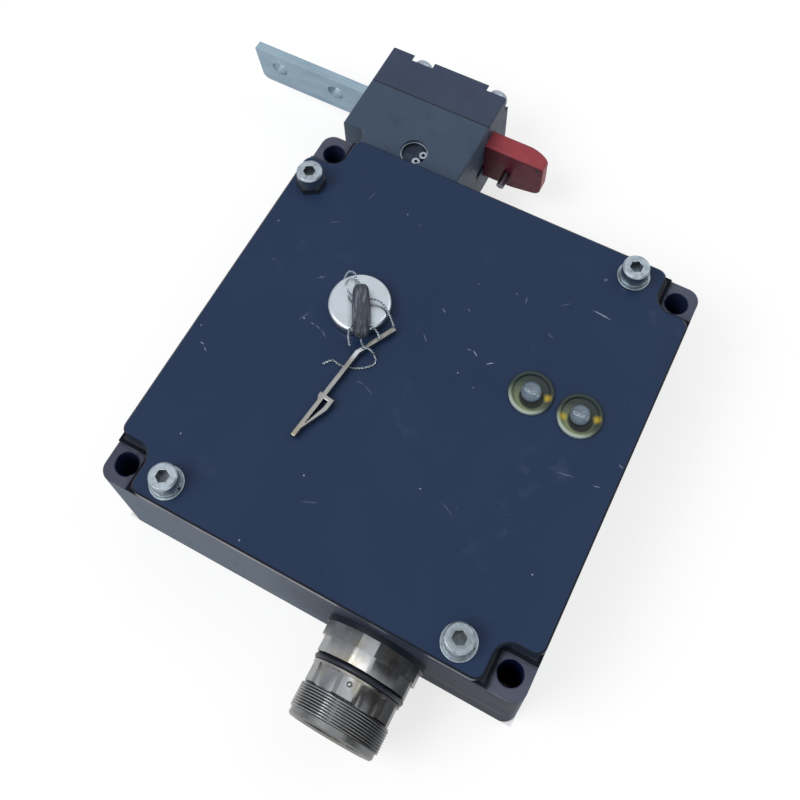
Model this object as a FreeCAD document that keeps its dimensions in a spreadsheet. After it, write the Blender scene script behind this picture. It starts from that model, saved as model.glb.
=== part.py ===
import FreeCAD, Part
import math
import os
import re
import Sketcher
from FreeCAD import Placement, Rotation, Vector

# Tongue interlock switch: a square die-cast case with a screwed cover, an actuator head on its
# +Y wall, a circular connector on its -Y wall and a steel tongue with a red nose that slides
# through the head along X.
# Frame: the origin is the centre of the four fixing holes on the flat back, +Z is out through
# the cover, +Y is towards the head, +X is the way the tongue's nose points. Millimetres.

SIZES = {
    # case and cover
    "case_width": 112.0, "case_length": 112.0, "case_height": 35.0, "case_corner": 3.5,
    "case_wall": 3.2, "case_floor": 3.0, "rim_rise": 1.0, "rim_step": 1.4,
    "notch_width": 9.8, "notch_length": 10.7, "notch_inner": 4.0, "notch_outer": 2.6,
    "fix_inset_x": 5.0, "fix_inset_y": 5.5, "fix_bore": 3.0,
    "cover_thick": 3.0, "cover_edge": 0.5,
    "gasket_inset": 0.9, "gasket_width": 1.3, "gasket_height": 1.2,
    # cover screws: three beside the fixing holes, the fourth below the top left one
    "screw_inset_x": 17.6, "screw_inset_y": 5.4, "odd_inset_x": 5.8, "odd_inset_y": 18.8,
    "screw_bore": 2.2, "screw_shank": 1.95, "screw_head": 3.5, "screw_head_height": 4.0,
    "screw_socket": 1.5, "screw_socket_depth": 2.2, "screw_length": 12.0, "screw_edge": 0.4,
    "thread_gap": 0.05, "boss_wall": 2.6, "washer_outer": 4.25, "washer_thick": 0.6,
    "spring_outer": 3.7, "spring_thick": 0.9, "spring_split": 0.7, "collar_flats": 3.6,
    "collar_height": 2.4,
    # mechanical release with its seal, wire and key
    "release_x": -20.1, "release_y": 10.4, "knob_outer": 8.1, "knob_height": 3.4,
    "knob_edge": 0.45, "knob_fit": 0.05, "knob_shaft": 4.0, "knob_gap": 0.3,
    "cam_outer": 7.0, "cam_offset": 2.2, "cam_thick": 3.0, "cam_gap": 0.3,
    "seal_turn": -60.9, "seal_shift": 3.4, "seal_side_x": 0.45, "seal_side_y": 0.2,
    "seal_length": 14.8, "seal_width": 4.6, "seal_height": 3.9, "seal_round": 1.3,
    "seal_end": 0.7, "seal_bore": 0.62, "seal_hole_pitch": 7.0,
    "wire_thick": 0.7, "wire_gap": 0.1,
    "key_side": 5.9, "key_below": 11.8, "key_turn": -7.2, "key_bend": 21.5, "key_bit": 10.9,
    "key_thick": 1.1, "key_height": 1.6, "key_gap": 0.9, "key_shank": 13.6, "key_bow": 12.6,
    "bow_bar": 1.0, "bow_step": 0.6, "bow_swell": 2.4, "bow_swell_at": 2.9, "bow_close": 9.0,
    # indicator windows
    "lamp_inset": 21.25, "lamp_y": 9.3, "lamp_pitch": 12.9, "window_outer": 5.65,
    "window_gap": 0.05, "window_round": 0.3, "window_rise": 1.0, "window_lip": 0.9,
    "window_dish": 0.7, "lamp_outer": 2.5, "lamp_height": 8.6, "lamp_round": 2.3,
    "lamp_rise": 3.4, "lead_pitch": 1.27, "lead_thick": 0.25, "board_thick": 1.6,
    "board_gap": 6.0, "board_length": 30.0, "board_width": 14.0, "board_post": 1.6,
    # actuator head
    "head_inset": 23.35, "head_square": 31.0, "head_wing": 7.7, "head_foot": 8.0,
    "head_split": 25.3, "head_cap_height": 13.7, "head_edge": 0.8, "head_recess": 2.0,
    "head_screw_pitch": 12.4, "head_screw_pocket": 4.6, "head_screw_drop": 2.0,
    "head_screw_head": 3.0, "head_screw_dome": 2.4, "head_screw_shank": 1.5,
    "head_screw_bore": 1.7, "head_screw_bite": 6.0, "head_screw_round": 1.4,
    "cross_half": 1.7, "cross_wide": 0.35, "cross_deep": 1.4, "rib_half": 4.2, "rib_end": 0.8,
    "pivot_y": 7.9, "pivot_bore": 4.05, "pivot_fit": 0.05, "pivot_drop": 1.7,
    "ring_drop": 0.8, "ring_thick": 0.8, "ring_groove": 0.3, "ring_band": 0.7,
    "ring_eye": 1.2, "ring_eye_bore": 0.5, "ring_eye_reach": 2.75, "ring_gap_turn": -20.0,
    "ring_gap_half": 32.0,
    # tongue, its lengths along X taken from the head's axis
    "tongue_split": 0.3, "bar_thick": 3.0, "bar_width": 13.8, "bar_reach": 65.35,
    "bar_root_reach": 27.15, "bar_slant": 1.6, "bar_corner": 2.6, "bar_hole": 2.75,
    "bar_hole_first": 8.4, "bar_hole_pitch": 20.2, "bar_hole_rise": 1.0,
    "nose_thick": 6.0, "nose_width": 15.6, "nose_rise": 0.3, "nose_back_reach": 1.35,
    "nose_reach": 34.05, "nose_taper": 4.5, "nose_taper_depth": 2.2, "nose_taper_round": 11.0,
    "nose_slope": 9.5, "nose_slope_rise": 2.2, "nose_slope_round": 14.0,
    "nose_round_low": 3.2, "nose_round_high": 1.6,
    "slot_gap": 0.35, "pin_reach": 23.05, "pin_drop": 1.6, "pin_outer": 1.2, "pin_stand": 4.8,
    "pin_gap": 0.4, "rivet_reach": 4.65, "rivet_outer": 1.5,
    # rocker in the head
    "rocker_hub": 5.5, "rocker_thick": 8.0, "rocker_tip": 2.4, "rocker_gap": 0.35,
    "well_half_x": 12.0, "well_half_z": 6.5,
    # connector
    "plug_inset": 35.9, "plug_z": 17.5, "plug_gasket": 1.4, "plug_gasket_outer": 12.7,
    "plug_flange": 3.3, "plug_flange_flats": 11.95, "plug_flange_cut": 12.55,
    "plug_step": 3.7, "plug_step_flats": 11.3, "plug_step_cut": 11.85,
    "plug_ring": 0.85, "plug_ring_reach": 11.65, "plug_lip": 0.7, "plug_lip_outer": 11.3,
    "plug_body": 4.9, "plug_body_flats": 10.6, "plug_body_cut": 11.1, "plug_thread": 5.7,
    "plug_thread_outer": 11.5, "plug_end": 1.8, "plug_end_outer": 10.9, "plug_end_edge": 0.4,
    "plug_bore": 9.3, "plug_bore_depth": 13.0, "plug_tail": 9.0, "plug_nut": 3.0,
    "plug_nut_flats": 11.5, "tail_past_nut": 0.6, "insert_thick": 4.0, "insert_gap": 0.05,
    "pin_contact": 0.5, "pin_contact_reach": 4.2, "pin_ring_outer": 7.0, "pin_ring_inner": 3.8,
    # locking plunger, solenoid and contact blocks
    "plunger_outer": 4.0, "plunger_fit": 0.05, "plunger_length": 76.0, "plunger_tip_gap": 0.3,
    "bushing_outer": 6.0, "bushing_length": 9.0, "coil_outer": 10.4, "coil_length": 26.0,
    "coil_bore": 4.4, "coil_gap": 2.0, "frame_thick": 2.0, "yoke_half": 11.5,
    "yoke_thick": 4.0, "yoke_height": 10.0, "block_width": 9.0, "block_length": 20.0,
    "block_height": 22.0, "block_inset": 48.0, "block_offset": 9.5, "tappet_outer": 1.8,
    "tappet_reach": 4.6, "tappet_tail": 5.0, "tappet_fit": 0.05,
}

doc = FreeCAD.newDocument("tongue_interlock_switch")
dims = doc.addObject("Spreadsheet::Sheet", "dims")
for row, (alias, size) in enumerate(SIZES.items(), start=1):
    dims.set("A%d" % row, alias)
    dims.set("B%d" % row, repr(size))
    dims.setAlias("B%d" % row, alias)
doc.recompute()

# Heights and faces that several pieces share, each a formula of the sizes.
SHARED = {
    "half_width": "case_width / 2", "half_length": "case_length / 2",
    "rim_top": "case_height + rim_rise", "cover_top": "rim_top + cover_thick",
    "wall_inside": "half_length - case_wall",
    "fix_x": "half_width - fix_inset_x", "fix_y": "half_length - fix_inset_y",
    "screw_x": "half_width - screw_inset_x", "screw_y": "half_length - screw_inset_y",
    "odd_screw_x": "half_width - odd_inset_x", "odd_screw_y": "half_length - odd_inset_y",
    "lamp_x": "half_width - lamp_inset", "plug_x": "half_width - plug_inset",
    "head_axis_x": "head_inset - half_width",
    "head_right": "head_axis_x + head_square / 2",
    "head_left": "head_axis_x - head_square / 2 - head_wing",
    "head_tower": "head_axis_x - head_square / 2", "head_mid": "head_square / 2",
    "head_part": "half_length + head_split", "head_top": "head_part + head_cap_height",
    "pivot_line": "half_length + pivot_y", "shaft_outer": "pivot_bore - pivot_fit",
    "ring_low": "head_square - ring_drop - ring_thick",
    "bar_end": "head_axis_x - bar_reach", "bar_root": "head_axis_x + bar_root_reach",
    "nose_start": "head_axis_x - nose_back_reach", "nose_end": "head_axis_x + nose_reach",
    "pin_x": "head_axis_x + pin_reach", "rivet_x": "head_axis_x + rivet_reach",
    "tongue_front": "head_part - tongue_split",
    "nose_front": "tongue_front - (nose_thick - bar_thick) / 2",
    "nose_back": "nose_front + nose_thick",
    "nose_low": "head_mid + nose_rise - nose_width / 2", "nose_high": "nose_low + nose_width",
    "keyway_low": "nose_front - pin_stand - pin_gap",
    "pin_z": "head_mid - pin_drop", "well_top": "nose_front - slot_gap",
    "tip_centre": "keyway_low - rocker_gap - rocker_tip - pivot_line",
    "plunger_end": "pivot_line - rocker_hub - plunger_tip_gap",
    "block_start": "half_length - block_inset",
    "coil_start": "block_start - coil_gap - frame_thick - coil_length",
    "block_end": "block_start + block_length",
    "yoke_start": "block_end + tappet_reach",
    "cam_top": "rim_top - cam_gap", "board_top": "rim_top - board_gap",
    "knob_top": "cover_top + knob_height",
    "step_start": "plug_gasket + plug_flange", "step_end": "step_start + plug_step",
    "seat_end": "step_end + 2 * plug_ring", "lip_end": "seat_end + plug_lip",
    "plug_body_end": "lip_end + plug_body", "thread_end": "plug_body_end + plug_thread",
    "plug_tip": "thread_end + plug_end", "bore_floor": "plug_tip - plug_bore_depth",
    "insert_end": "bore_floor + insert_thick",
}


def bound(formula):
    """The formula with each shared name worked out and each size led back to the sheet."""
    def lead(found):
        name = found.group(0)
        return "(%s)" % bound(SHARED[name]) if name in SHARED else "dims." + name
    return re.sub(r"[a-z]+(?:_[a-z]+)+", lead, formula)


def value(formula):
    """The formula's number, for geometry that a constraint or a Part function starts from."""
    found = probe.evalExpression(bound(formula))
    return float(getattr(found, "Value", found))


probe = doc.addObject("App::FeaturePython", "probe")
TURNS = {
    "up": Rotation(), "down": Rotation(Vector(1, 0, 0), 180),
    "plug": Rotation(Vector(1, 0, 0), 90), "head": Rotation(Vector(1, 0, 0), -90),
}
NODES = []


def place(item, at, turn="up", spin=None):
    """Put an object at formulas for x, y and z, its own Z axis turned one of four ways."""
    rotation = TURNS[turn]
    if spin is not None:
        rotation = rotation * Rotation(Vector(0, 0, 1), value(spin))
    item.Placement = Placement(Vector(), rotation)
    for axis, formula in zip("xyz", at):
        item.setExpression("Placement.Base." + axis, bound(formula))
    return item


def new_body(label, at=("0", "0", "0"), turn="up", spin=None, node=True):
    body = doc.addObject("PartDesign::Body", label)
    body.Label = label
    if node:
        NODES.append(body)
    return place(body, at, turn, spin)


def sketch(body, name, plane="XY_Plane", lift=None):
    """A sketch on one of the body's own planes, lifted along the plane's normal."""
    made = body.newObject("Sketcher::SketchObject", name)
    support = [face for face in body.Origin.OriginFeatures if face.Role == plane][0]
    made.AttachmentSupport = [(support, "")]
    made.MapMode = "FlatFace"
    if lift:
        made.setExpression("AttachmentOffset.Base.z", bound(lift))
    return made


def tie(drawing, kind, geometry, corner, formula):
    """Hold one coordinate of a sketch point by a formula; a zero lies on the sketch's axis."""
    amount = value(formula)
    if formula == "0":
        axis = -2 if kind == "DistanceX" else -1
        drawing.addConstraint(Sketcher.Constraint("PointOnObject", geometry, corner, axis))
    else:
        index = drawing.addConstraint(
            Sketcher.Constraint(kind, -1, 1, geometry, corner, amount))
        drawing.setExpression("Constraints[%d]" % index, bound(formula))


def polygon(drawing, points):
    """A closed outline whose corners are pairs of formulas."""
    first = drawing.GeometryCount
    spots = [Vector(value(x), value(y), 0) for x, y in points]
    count = len(spots)
    for index in range(count):
        drawing.addGeometry(Part.LineSegment(spots[index], spots[(index + 1) % count]), False)
    for index in range(count):
        drawing.addConstraint(Sketcher.Constraint(
            "Coincident", first + index, 2, first + (index + 1) % count, 1))
    for index, (x, y) in enumerate(points):
        tie(drawing, "DistanceX", first + index, 1, x)
        tie(drawing, "DistanceY", first + index, 1, y)


def rectangle(drawing, x_low, x_high, y_low, y_high):
    polygon(drawing, [(x_low, y_low), (x_high, y_low), (x_high, y_high), (x_low, y_high)])


def circle(drawing, x, y, radius):
    index = drawing.addGeometry(
        Part.Circle(Vector(value(x), value(y), 0), Vector(0, 0, 1), value(radius)), False)
    tie(drawing, "DistanceX", index, 3, x)
    tie(drawing, "DistanceY", index, 3, y)
    held = drawing.addConstraint(Sketcher.Constraint("Radius", index, value(radius)))
    drawing.setExpression("Constraints[%d]" % held, bound(radius))


def notched(drawing, inset="0", rim="0"):
    """The case's square outline with its four stepped corners, drawn in by an inset."""
    outer_x, outer_y = "(half_width - (%s))" % inset, "(half_length - (%s))" % inset
    inner_x = "(half_width - notch_width + %s - (%s))" % (rim, inset)
    inner_y = "(half_length - notch_length + %s - (%s))" % (rim, inset)
    corners = [(inner_x, outer_y), (inner_x, inner_y), (outer_x, inner_y)]
    points = corners + [(x, "-" + y) for x, y in reversed(corners)]
    points += [("-" + x, "-" + y) for x, y in corners]
    points += [("-" + x, y) for x, y in reversed(corners)]
    polygon(drawing, points)


def feature(body, kind, name, profile, before=None, **settings):
    """A PartDesign feature from a sketch; text settings are formulas. Cuts must remove metal."""
    made = body.newObject("PartDesign::" + kind, name)
    made.Profile = profile
    for setting, amount in settings.items():
        if isinstance(amount, str) and "Type" not in setting:
            made.setExpression(setting, bound(amount))
        else:
            setattr(made, setting, amount)
    profile.Visibility = False
    doc.recompute()
    if kind in ("Pocket", "Groove") and body.Tip.BaseFeature is not None:
        removed = body.Tip.BaseFeature.Shape.Volume - body.Tip.Shape.Volume
        if removed < 1e-6:
            raise RuntimeError("%s in %s cuts nothing" % (name, body.Label))
    return made


def pad(body, drawing, length, name="pad", **settings):
    return feature(body, "Pad", name, drawing, Length=length, **settings)


def pocket(body, drawing, length, name="pocket", **settings):
    return feature(body, "Pocket", name, drawing, Length=length, **settings)


def through(body, drawing, name="through"):
    """A pocket both ways from its sketch, right through the body."""
    return feature(body, "Pocket", name, drawing, Type="ThroughAll", SideType="Symmetric")


def dress(body, kind, chosen, size, name):
    """A fillet or chamfer on the edges of the body's tip that the test chooses."""
    doc.recompute()
    base = body.Tip
    edges = ["Edge%d" % (index + 1) for index, edge in enumerate(base.Shape.Edges) if chosen(edge)]
    if not edges:
        raise RuntimeError("no edge for %s in %s" % (name, body.Label))
    made = body.newObject("PartDesign::" + kind, name)
    made.Base = (base, edges)
    made.setExpression("Radius" if kind == "Fillet" else "Size", bound(size))
    doc.recompute()
    return made


def ends(edge):
    return [vertex.Point for vertex in edge.Vertexes]


def runs_along(edge, axis):
    """True for a straight edge parallel to one of the axes."""
    spots = ends(edge)
    if len(spots) != 2 or not isinstance(edge.Curve, Part.Line):
        return False
    across = spots[1] - spots[0]
    return abs(abs(getattr(across, axis)) - across.Length) < 1e-6


def turned(label, profile, at=("0", "0", "0"), turn="up", node=True, angle=None, spin=None):
    """A body turned about its own Z axis from a half profile of (radius, height) formulas."""
    body = new_body(label, at, turn, spin, node)
    drawing = sketch(body, label + "_profile", "XZ_Plane")
    polygon(drawing, profile)
    settings = {"ReferenceAxis": (drawing, ["V_Axis"])}
    if angle:
        settings["Angle"] = angle
    feature(body, "Revolution", label + "_turn", drawing, **settings)
    return body


def shoulder(radius, top, bend, count=3):
    """Profile corners round a turned piece's shoulder, from its side up to its end face."""
    turns = [90 * step / count for step in range(count + 1)]
    return [("%s - %s * (1 - cos(%g deg))" % (radius, bend, turn),
             "%s - %s * (1 - sin(%g deg))" % (top, bend, turn)) for turn in turns]


def group(label, members):
    """Identical fasteners, each a solid of its own, as one node."""
    made = doc.addObject("Part::Compound", label)
    made.Label = label
    made.Links = members
    NODES.append(made)
    return made


HEXAGON = "(2 / sqrt(3) * %s)"


def flats(drawing, across, cut):
    """A hexagon given by half its width over flats, its corners cut off by a second hexagon."""
    points = []
    for step in range(6):
        for side, sign in ((-1, "-"), (1, "+")):
            turn = 60 * step
            run = "(2 * %s - sqrt(3) * %s)" % (cut, across)
            points.append((
                "%s * cos(%d deg) - %d * %s * sin(%d deg)" % (across, turn, side, run, turn),
                "%s * sin(%d deg) + %d * %s * cos(%d deg)" % (across, turn, side, run, turn)))
    polygon(drawing, points)


def ring(label, at, inner, outer, thick, turn="up", node=True, spin=None):
    return turned(label, [(inner, "0"), (outer, "0"), (outer, thick), (inner, thick)],
                  at, turn, node, spin=spin)


def disc(label, at, outer, thick, turn="up", node=True):
    return turned(label, [("0", "0"), (outer, "0"), (outer, thick), ("0", thick)], at, turn, node)


def sides(sign_x, sign_y, x, y):
    """A pair of formulas with the signs of one corner."""
    return "%d * (%s)" % (sign_x, x), "%d * (%s)" % (sign_y, y)


CORNERS = [(1, 1), (-1, 1), (-1, -1), (1, -1)]
SCREWS = [("screw_x", "screw_y"), ("-screw_x", "-screw_y"), ("screw_x", "-screw_y"),
          ("-odd_screw_x", "odd_screw_y")]
HEAD_SCREWS = [("head_axis_x + %d * head_screw_pitch" % sx, "head_mid + %d * head_screw_pitch" % sz)
               for sx, sz in CORNERS]

# The cast case: one block, a stepped rim for the gasket, a cavity and bosses for the screws.
case = new_body("base_housing")
outline = sketch(case, "case_outline")
rectangle(outline, "-half_width", "half_width", "-half_length", "half_length")
pad(case, outline, "case_height", "case_block")
dress(case, "Fillet", lambda edge: runs_along(edge, "z"), "case_corner", "case_corners")
step = sketch(case, "case_step", lift="case_height")
notched(step, rim="rim_step")
pad(case, step, "rim_rise", "case_rim")
cavity = sketch(case, "case_cavity", lift="rim_top")
notched(cavity, "case_wall", "rim_step")
pocket(case, cavity, "rim_top - case_floor", "case_hollow")
posts = sketch(case, "case_posts", lift="case_floor")
for x, y in SCREWS:
    circle(posts, x, y, "screw_bore + boss_wall")
pad(case, posts, "rim_top - case_floor", "case_bosses")
ribs = sketch(case, "case_ribs", "XZ_Plane", "-wall_inside")
for side in (-1, 1):
    middle = "(head_axis_x + %d * head_screw_pitch)" % side
    rectangle(ribs, middle + " - rib_half", middle + " + rib_half", "0",
              "head_mid + head_screw_pitch + rib_half")
pad(case, ribs, "head_screw_bite - case_wall + rib_end", "case_head_ribs")
holes = sketch(case, "case_fixing")
for sx, sy in CORNERS:
    circle(holes, *sides(sx, sy, "fix_x", "fix_y"), "fix_bore")
through(case, holes, "case_fixing_holes")
threads = sketch(case, "case_threads", lift="rim_top")
for x, y in SCREWS:
    circle(threads, x, y, "screw_shank + thread_gap")
pocket(case, threads, "screw_length", "case_screw_holes")
groove = sketch(case, "case_groove", lift="rim_top")
notched(groove, "gasket_inset", "rim_step")
notched(groove, "gasket_inset + gasket_width", "rim_step")
pocket(case, groove, "gasket_height", "case_gasket_groove")
head_side = sketch(case, "case_head_side", "XZ_Plane", "-half_length")
circle(head_side, "head_axis_x", "head_mid", "bushing_outer + thread_gap")
pocket(case, head_side, "case_wall + thread_gap", "case_bushing_hole", Reversed=True)
bites = sketch(case, "case_bites", "XZ_Plane", "-half_length")
for x, z in HEAD_SCREWS:
    circle(bites, x, z, "head_screw_shank + thread_gap")
pocket(case, bites, "head_screw_bite + thread_gap", "case_head_holes", Reversed=True)
plug_side = sketch(case, "case_plug_side", "XZ_Plane", "half_length")
circle(plug_side, "plug_x", "plug_z", "plug_tail + thread_gap")
pocket(case, plug_side, "case_wall + thread_gap", "case_plug_hole")

# The gasket in its groove and the cover over it, both on the case's stepped outline.
gasket = new_body("cover_gasket", ("0", "0", "rim_top - gasket_height"))
band = sketch(gasket, "gasket_band")
notched(band, "gasket_inset", "rim_step")
notched(band, "gasket_inset + gasket_width", "rim_step")
pad(gasket, band, "gasket_height")

cover = new_body("cover_plate", ("0", "0", "rim_top"))
plate = sketch(cover, "cover_outline")
notched(plate)
pad(cover, plate, "cover_thick")


def notch_corner(edge, inner):
    """True for an upright edge at a notch's re-entrant corner, or at one of its outer two."""
    if not runs_along(edge, "z") or any(spot.z < 0 for spot in ends(edge)):
        return False
    spot = ends(edge)[0]
    reach = [abs(spot.x) > value("half_width") - 1e-6, abs(spot.y) > value("half_length") - 1e-6]
    return not any(reach) if inner else any(reach)


dress(cover, "Fillet", lambda edge: notch_corner(edge, True), "notch_inner", "cover_inner_corners")
dress(cover, "Fillet", lambda edge: notch_corner(edge, False), "notch_outer",
      "cover_outer_corners")
dress(cover, "Chamfer", lambda edge: all(
    abs(spot.z - value("cover_thick")) < 1e-6 for spot in ends(edge)), "cover_edge", "cover_bevel")
openings = sketch(cover, "cover_openings")
for x, y in SCREWS:
    circle(openings, x, y, "screw_bore")
circle(openings, "release_x", "release_y", "knob_shaft + knob_fit")
for side in (-1, 1):
    circle(openings, "lamp_x + %d * lamp_pitch / 2" % side, "lamp_y", "window_outer + window_gap")
through(cover, openings, "cover_holes")


def cap_screw(label, at):
    """A socket head cap screw, its own origin under the head."""
    body = turned(label, [
        ("0", "-screw_length"), ("screw_shank", "-screw_length"), ("screw_shank", "0"),
        ("screw_head", "0"), ("screw_head", "screw_head_height - screw_edge"),
        ("screw_head - screw_edge", "screw_head_height"), ("0", "screw_head_height")],
        at, node=False)
    key = sketch(body, label + "_key", lift="screw_head_height")
    flats(key, "screw_socket", HEXAGON % "screw_socket")
    pocket(body, key, "screw_socket_depth", label + "_socket")
    return body


stack = "cover_top + washer_thick + spring_thick"
screws, washers, springs = [], [], []
for index, (x, y) in enumerate(SCREWS[:3]):
    screws.append(cap_screw("cap_screw_%d" % index, (x, y, stack)))
    washers.append(ring("washer_%d" % index, (x, y, "cover_top"), "screw_bore", "washer_outer",
                        "washer_thick", node=False))
    lock = ring("spring_%d" % index, (x, y, "cover_top + washer_thick"), "screw_bore",
                "spring_outer", "spring_thick", node=False)
    split = sketch(lock, "spring_split_%d" % index)
    rectangle(split, "0", "washer_outer", "-spring_split / 2", "spring_split / 2")
    through(lock, split, "spring_cut_%d" % index)
    springs.append(lock)
screws.append(cap_screw("cap_screw_3", SCREWS[3] + ("cover_top + collar_height",)))
group("cover_screws", screws)
group("cover_washers", washers)
group("cover_spring_washers", springs)
collar = new_body("screw_collar", SCREWS[3] + ("cover_top",))
hexagon = sketch(collar, "collar_outline")
flats(hexagon, "collar_flats", HEXAGON % "collar_flats")
circle(hexagon, "0", "0", "screw_bore")
pad(collar, hexagon, "collar_height")

# Two indicator windows with a lamp each, on one board that hangs from the cover.
for side, name in ((-1, "left"), (1, "right")):
    x = "lamp_x + %d * lamp_pitch / 2" % side
    turned("window_" + name, [
        ("lamp_outer + window_gap", "0"), ("window_outer", "0"),
        ("window_outer", "cover_thick + window_rise - window_round"),
        ("window_outer - window_round", "cover_thick + window_rise"),
        ("window_outer - window_lip", "cover_thick + window_rise"),
        ("window_outer - window_lip - window_round", "cover_thick + window_rise - window_dish"),
        ("lamp_outer + window_gap", "cover_thick + window_rise - window_dish")],
        (x, "lamp_y", "rim_top"))
    dome = turned("led_" + name, [
        ("0", "0"), ("lamp_outer", "0")] + shoulder("lamp_outer", "lamp_height", "lamp_round") + [
        ("0", "lamp_height")], (x, "lamp_y", "cover_top + lamp_rise - lamp_height"))
    leads = sketch(dome, "leads_" + name)
    for lead in (-1, 1):
        rectangle(leads, "%d * lead_pitch - lead_thick" % lead, "%d * lead_pitch + lead_thick" % lead,
                  "-lead_thick", "lead_thick")
    pad(dome, leads, "cover_top + lamp_rise - lamp_height - board_top", "lead_" + name,
        Reversed=True)
board = new_body("led_board", ("lamp_x", "lamp_y", "board_top - board_thick"))
card = sketch(board, "board_outline")
rectangle(card, "-board_length / 2", "board_length / 2", "-board_width / 2", "board_width / 2")
pad(board, card, "board_thick")
pillars = sketch(board, "board_pillars", lift="board_thick")
for side in (-1, 1):
    circle(pillars, "%d * (board_length / 2 - board_post - window_gap)" % side,
           "%d * (board_width / 2 - board_post)" % side, "board_post")
pad(board, pillars, "board_gap", "board_posts")

# The mechanical release: a plain round knob through the cover with an eccentric cam beneath it.
turned("release_knob", [
    ("0", "cam_top - cam_thick - cover_top"), ("knob_shaft", "cam_top - cam_thick - cover_top"),
    ("knob_shaft", "knob_gap"), ("knob_outer", "knob_gap"),
    ("knob_outer", "knob_height - knob_edge"), ("knob_outer - knob_edge", "knob_height"),
    ("0", "knob_height")], ("release_x", "release_y", "cover_top"))
cam = disc("release_cam", ("release_x", "release_y", "cam_top - cam_thick"), "cam_outer",
           "cam_thick")
shaft_hole = sketch(cam, "cam_hole")
circle(shaft_hole, "0", "cam_offset", "knob_shaft")
through(cam, shaft_hole, "cam_bore")
cam.setExpression("Placement.Base.y", bound("release_y - cam_offset"))

# The lead seal lies across the knob's edge, drilled twice for its wire.
seal = new_body("lead_seal", ("release_x + seal_shift * cos(seal_turn * 1 deg) + seal_side_x",
                              "release_y + seal_shift * sin(seal_turn * 1 deg) + seal_side_y",
                              "knob_top"), spin="seal_turn")
bar = sketch(seal, "seal_outline")
rectangle(bar, "-seal_length / 2", "seal_length / 2", "-seal_width / 2", "seal_width / 2")
pad(seal, bar, "seal_height")
dress(seal, "Fillet", lambda edge: runs_along(edge, "x"), "seal_round", "seal_rounding")
dress(seal, "Chamfer", lambda edge: not runs_along(edge, "x"), "seal_end", "seal_end_rims")
drill = sketch(seal, "seal_drill", "XZ_Plane")
for side in (-1, 1):
    circle(drill, "%d * seal_hole_pitch / 2" % side, "seal_height / 2", "seal_bore")
through(seal, drill, "seal_holes")

# The release key of flat strip stands on edge beside the knob: a bent shank, then a bow that is
# bent into a loop, straight on one side and swelling on the other.
key = new_body("release_key", ("release_x + key_side", "release_y - key_below",
                               "cover_top + key_gap"), spin="key_turn")
bent = "cos(key_bend * 1 deg)", "sin(key_bend * 1 deg)"
half = "key_thick / 2"
shank = sketch(key, "key_shank")
polygon(shank, [
    (half, "-key_shank - bow_bar"), (half, "0"),
    ("%s + key_bit * %s" % (half, bent[1]), "key_bit * %s" % bent[0]),
    ("-%s + key_bit * %s" % (half, bent[1]), "key_bit * %s + key_thick * %s" % bent),
    ("-" + half, "0"), ("-" + half, "-key_shank - bow_bar")])
pad(key, shank, "key_height")
bow = sketch(key, "key_bow_outline")
polygon(bow, [
    ("-%s - bow_step" % half, "-key_shank"), ("-%s - bow_step" % half, "-key_shank - bow_bar"),
    ("-" + half, "-key_shank - 2 * bow_bar"), ("-" + half, "-key_shank - key_bow"),
    (half, "-key_shank - key_bow"), (half, "-key_shank - bow_close - bow_bar"),
    ("%s + bow_swell" % half, "-key_shank - bow_swell_at"),
    ("%s + bow_swell" % half, "-key_shank")])
pad(key, bow, "key_height", "key_bow_pad")
opening = sketch(key, "key_bow_opening")
polygon(opening, [
    (half, "-key_shank - bow_bar"), ("%s + bow_swell - key_thick" % half, "-key_shank - bow_bar"),
    ("%s + bow_swell - key_thick" % half, "-key_shank - bow_swell_at"),
    (half, "-key_shank - bow_close")])
through(key, opening, "key_bow_hollow")

# The seal's twisted wire, stiff enough to keep its bends: four strands out of the drilled seal.
# Each point is its place in plan from the knob's axis and what the strand lies at there: the
# height of the seal's holes, of the knob's top, of the key's top or of the cover.
HOLE, KNOB, OVER, LAID = "knob_height + seal_height / 2", "knob_height", "key_gap + key_height", "0"
STRANDS = [
    [(-6.0, 3.2, HOLE), (-6.6, 5.4, HOLE), (-4.4, 6.0, HOLE), (-3.4, 4.3, HOLE), (-1.9, 3.8, HOLE)],
    [(-3.9, 1.0, HOLE), (-2.3, -1.2, HOLE), (4.2, 2.35, HOLE), (8.3, 0.6, KNOB), (10.8, -1.9, OVER)],
    [(3.5, -11.4, OVER), (0.2, -7.85, HOLE), (7.0, -4.1, HOLE), (9.6, -6.6, OVER)],
    [(5.8, -9.5, HOLE), (6.4, -10.3, OVER), (8.8, -9.9, OVER), (10.3, -10.4, LAID),
     (10.9, -12.4, LAID),
     (7.6, -15.3, LAID), (3.0, -16.5, LAID), (0.6, -15.6, LAID), (-0.7, -18.0, LAID)],
]


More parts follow.
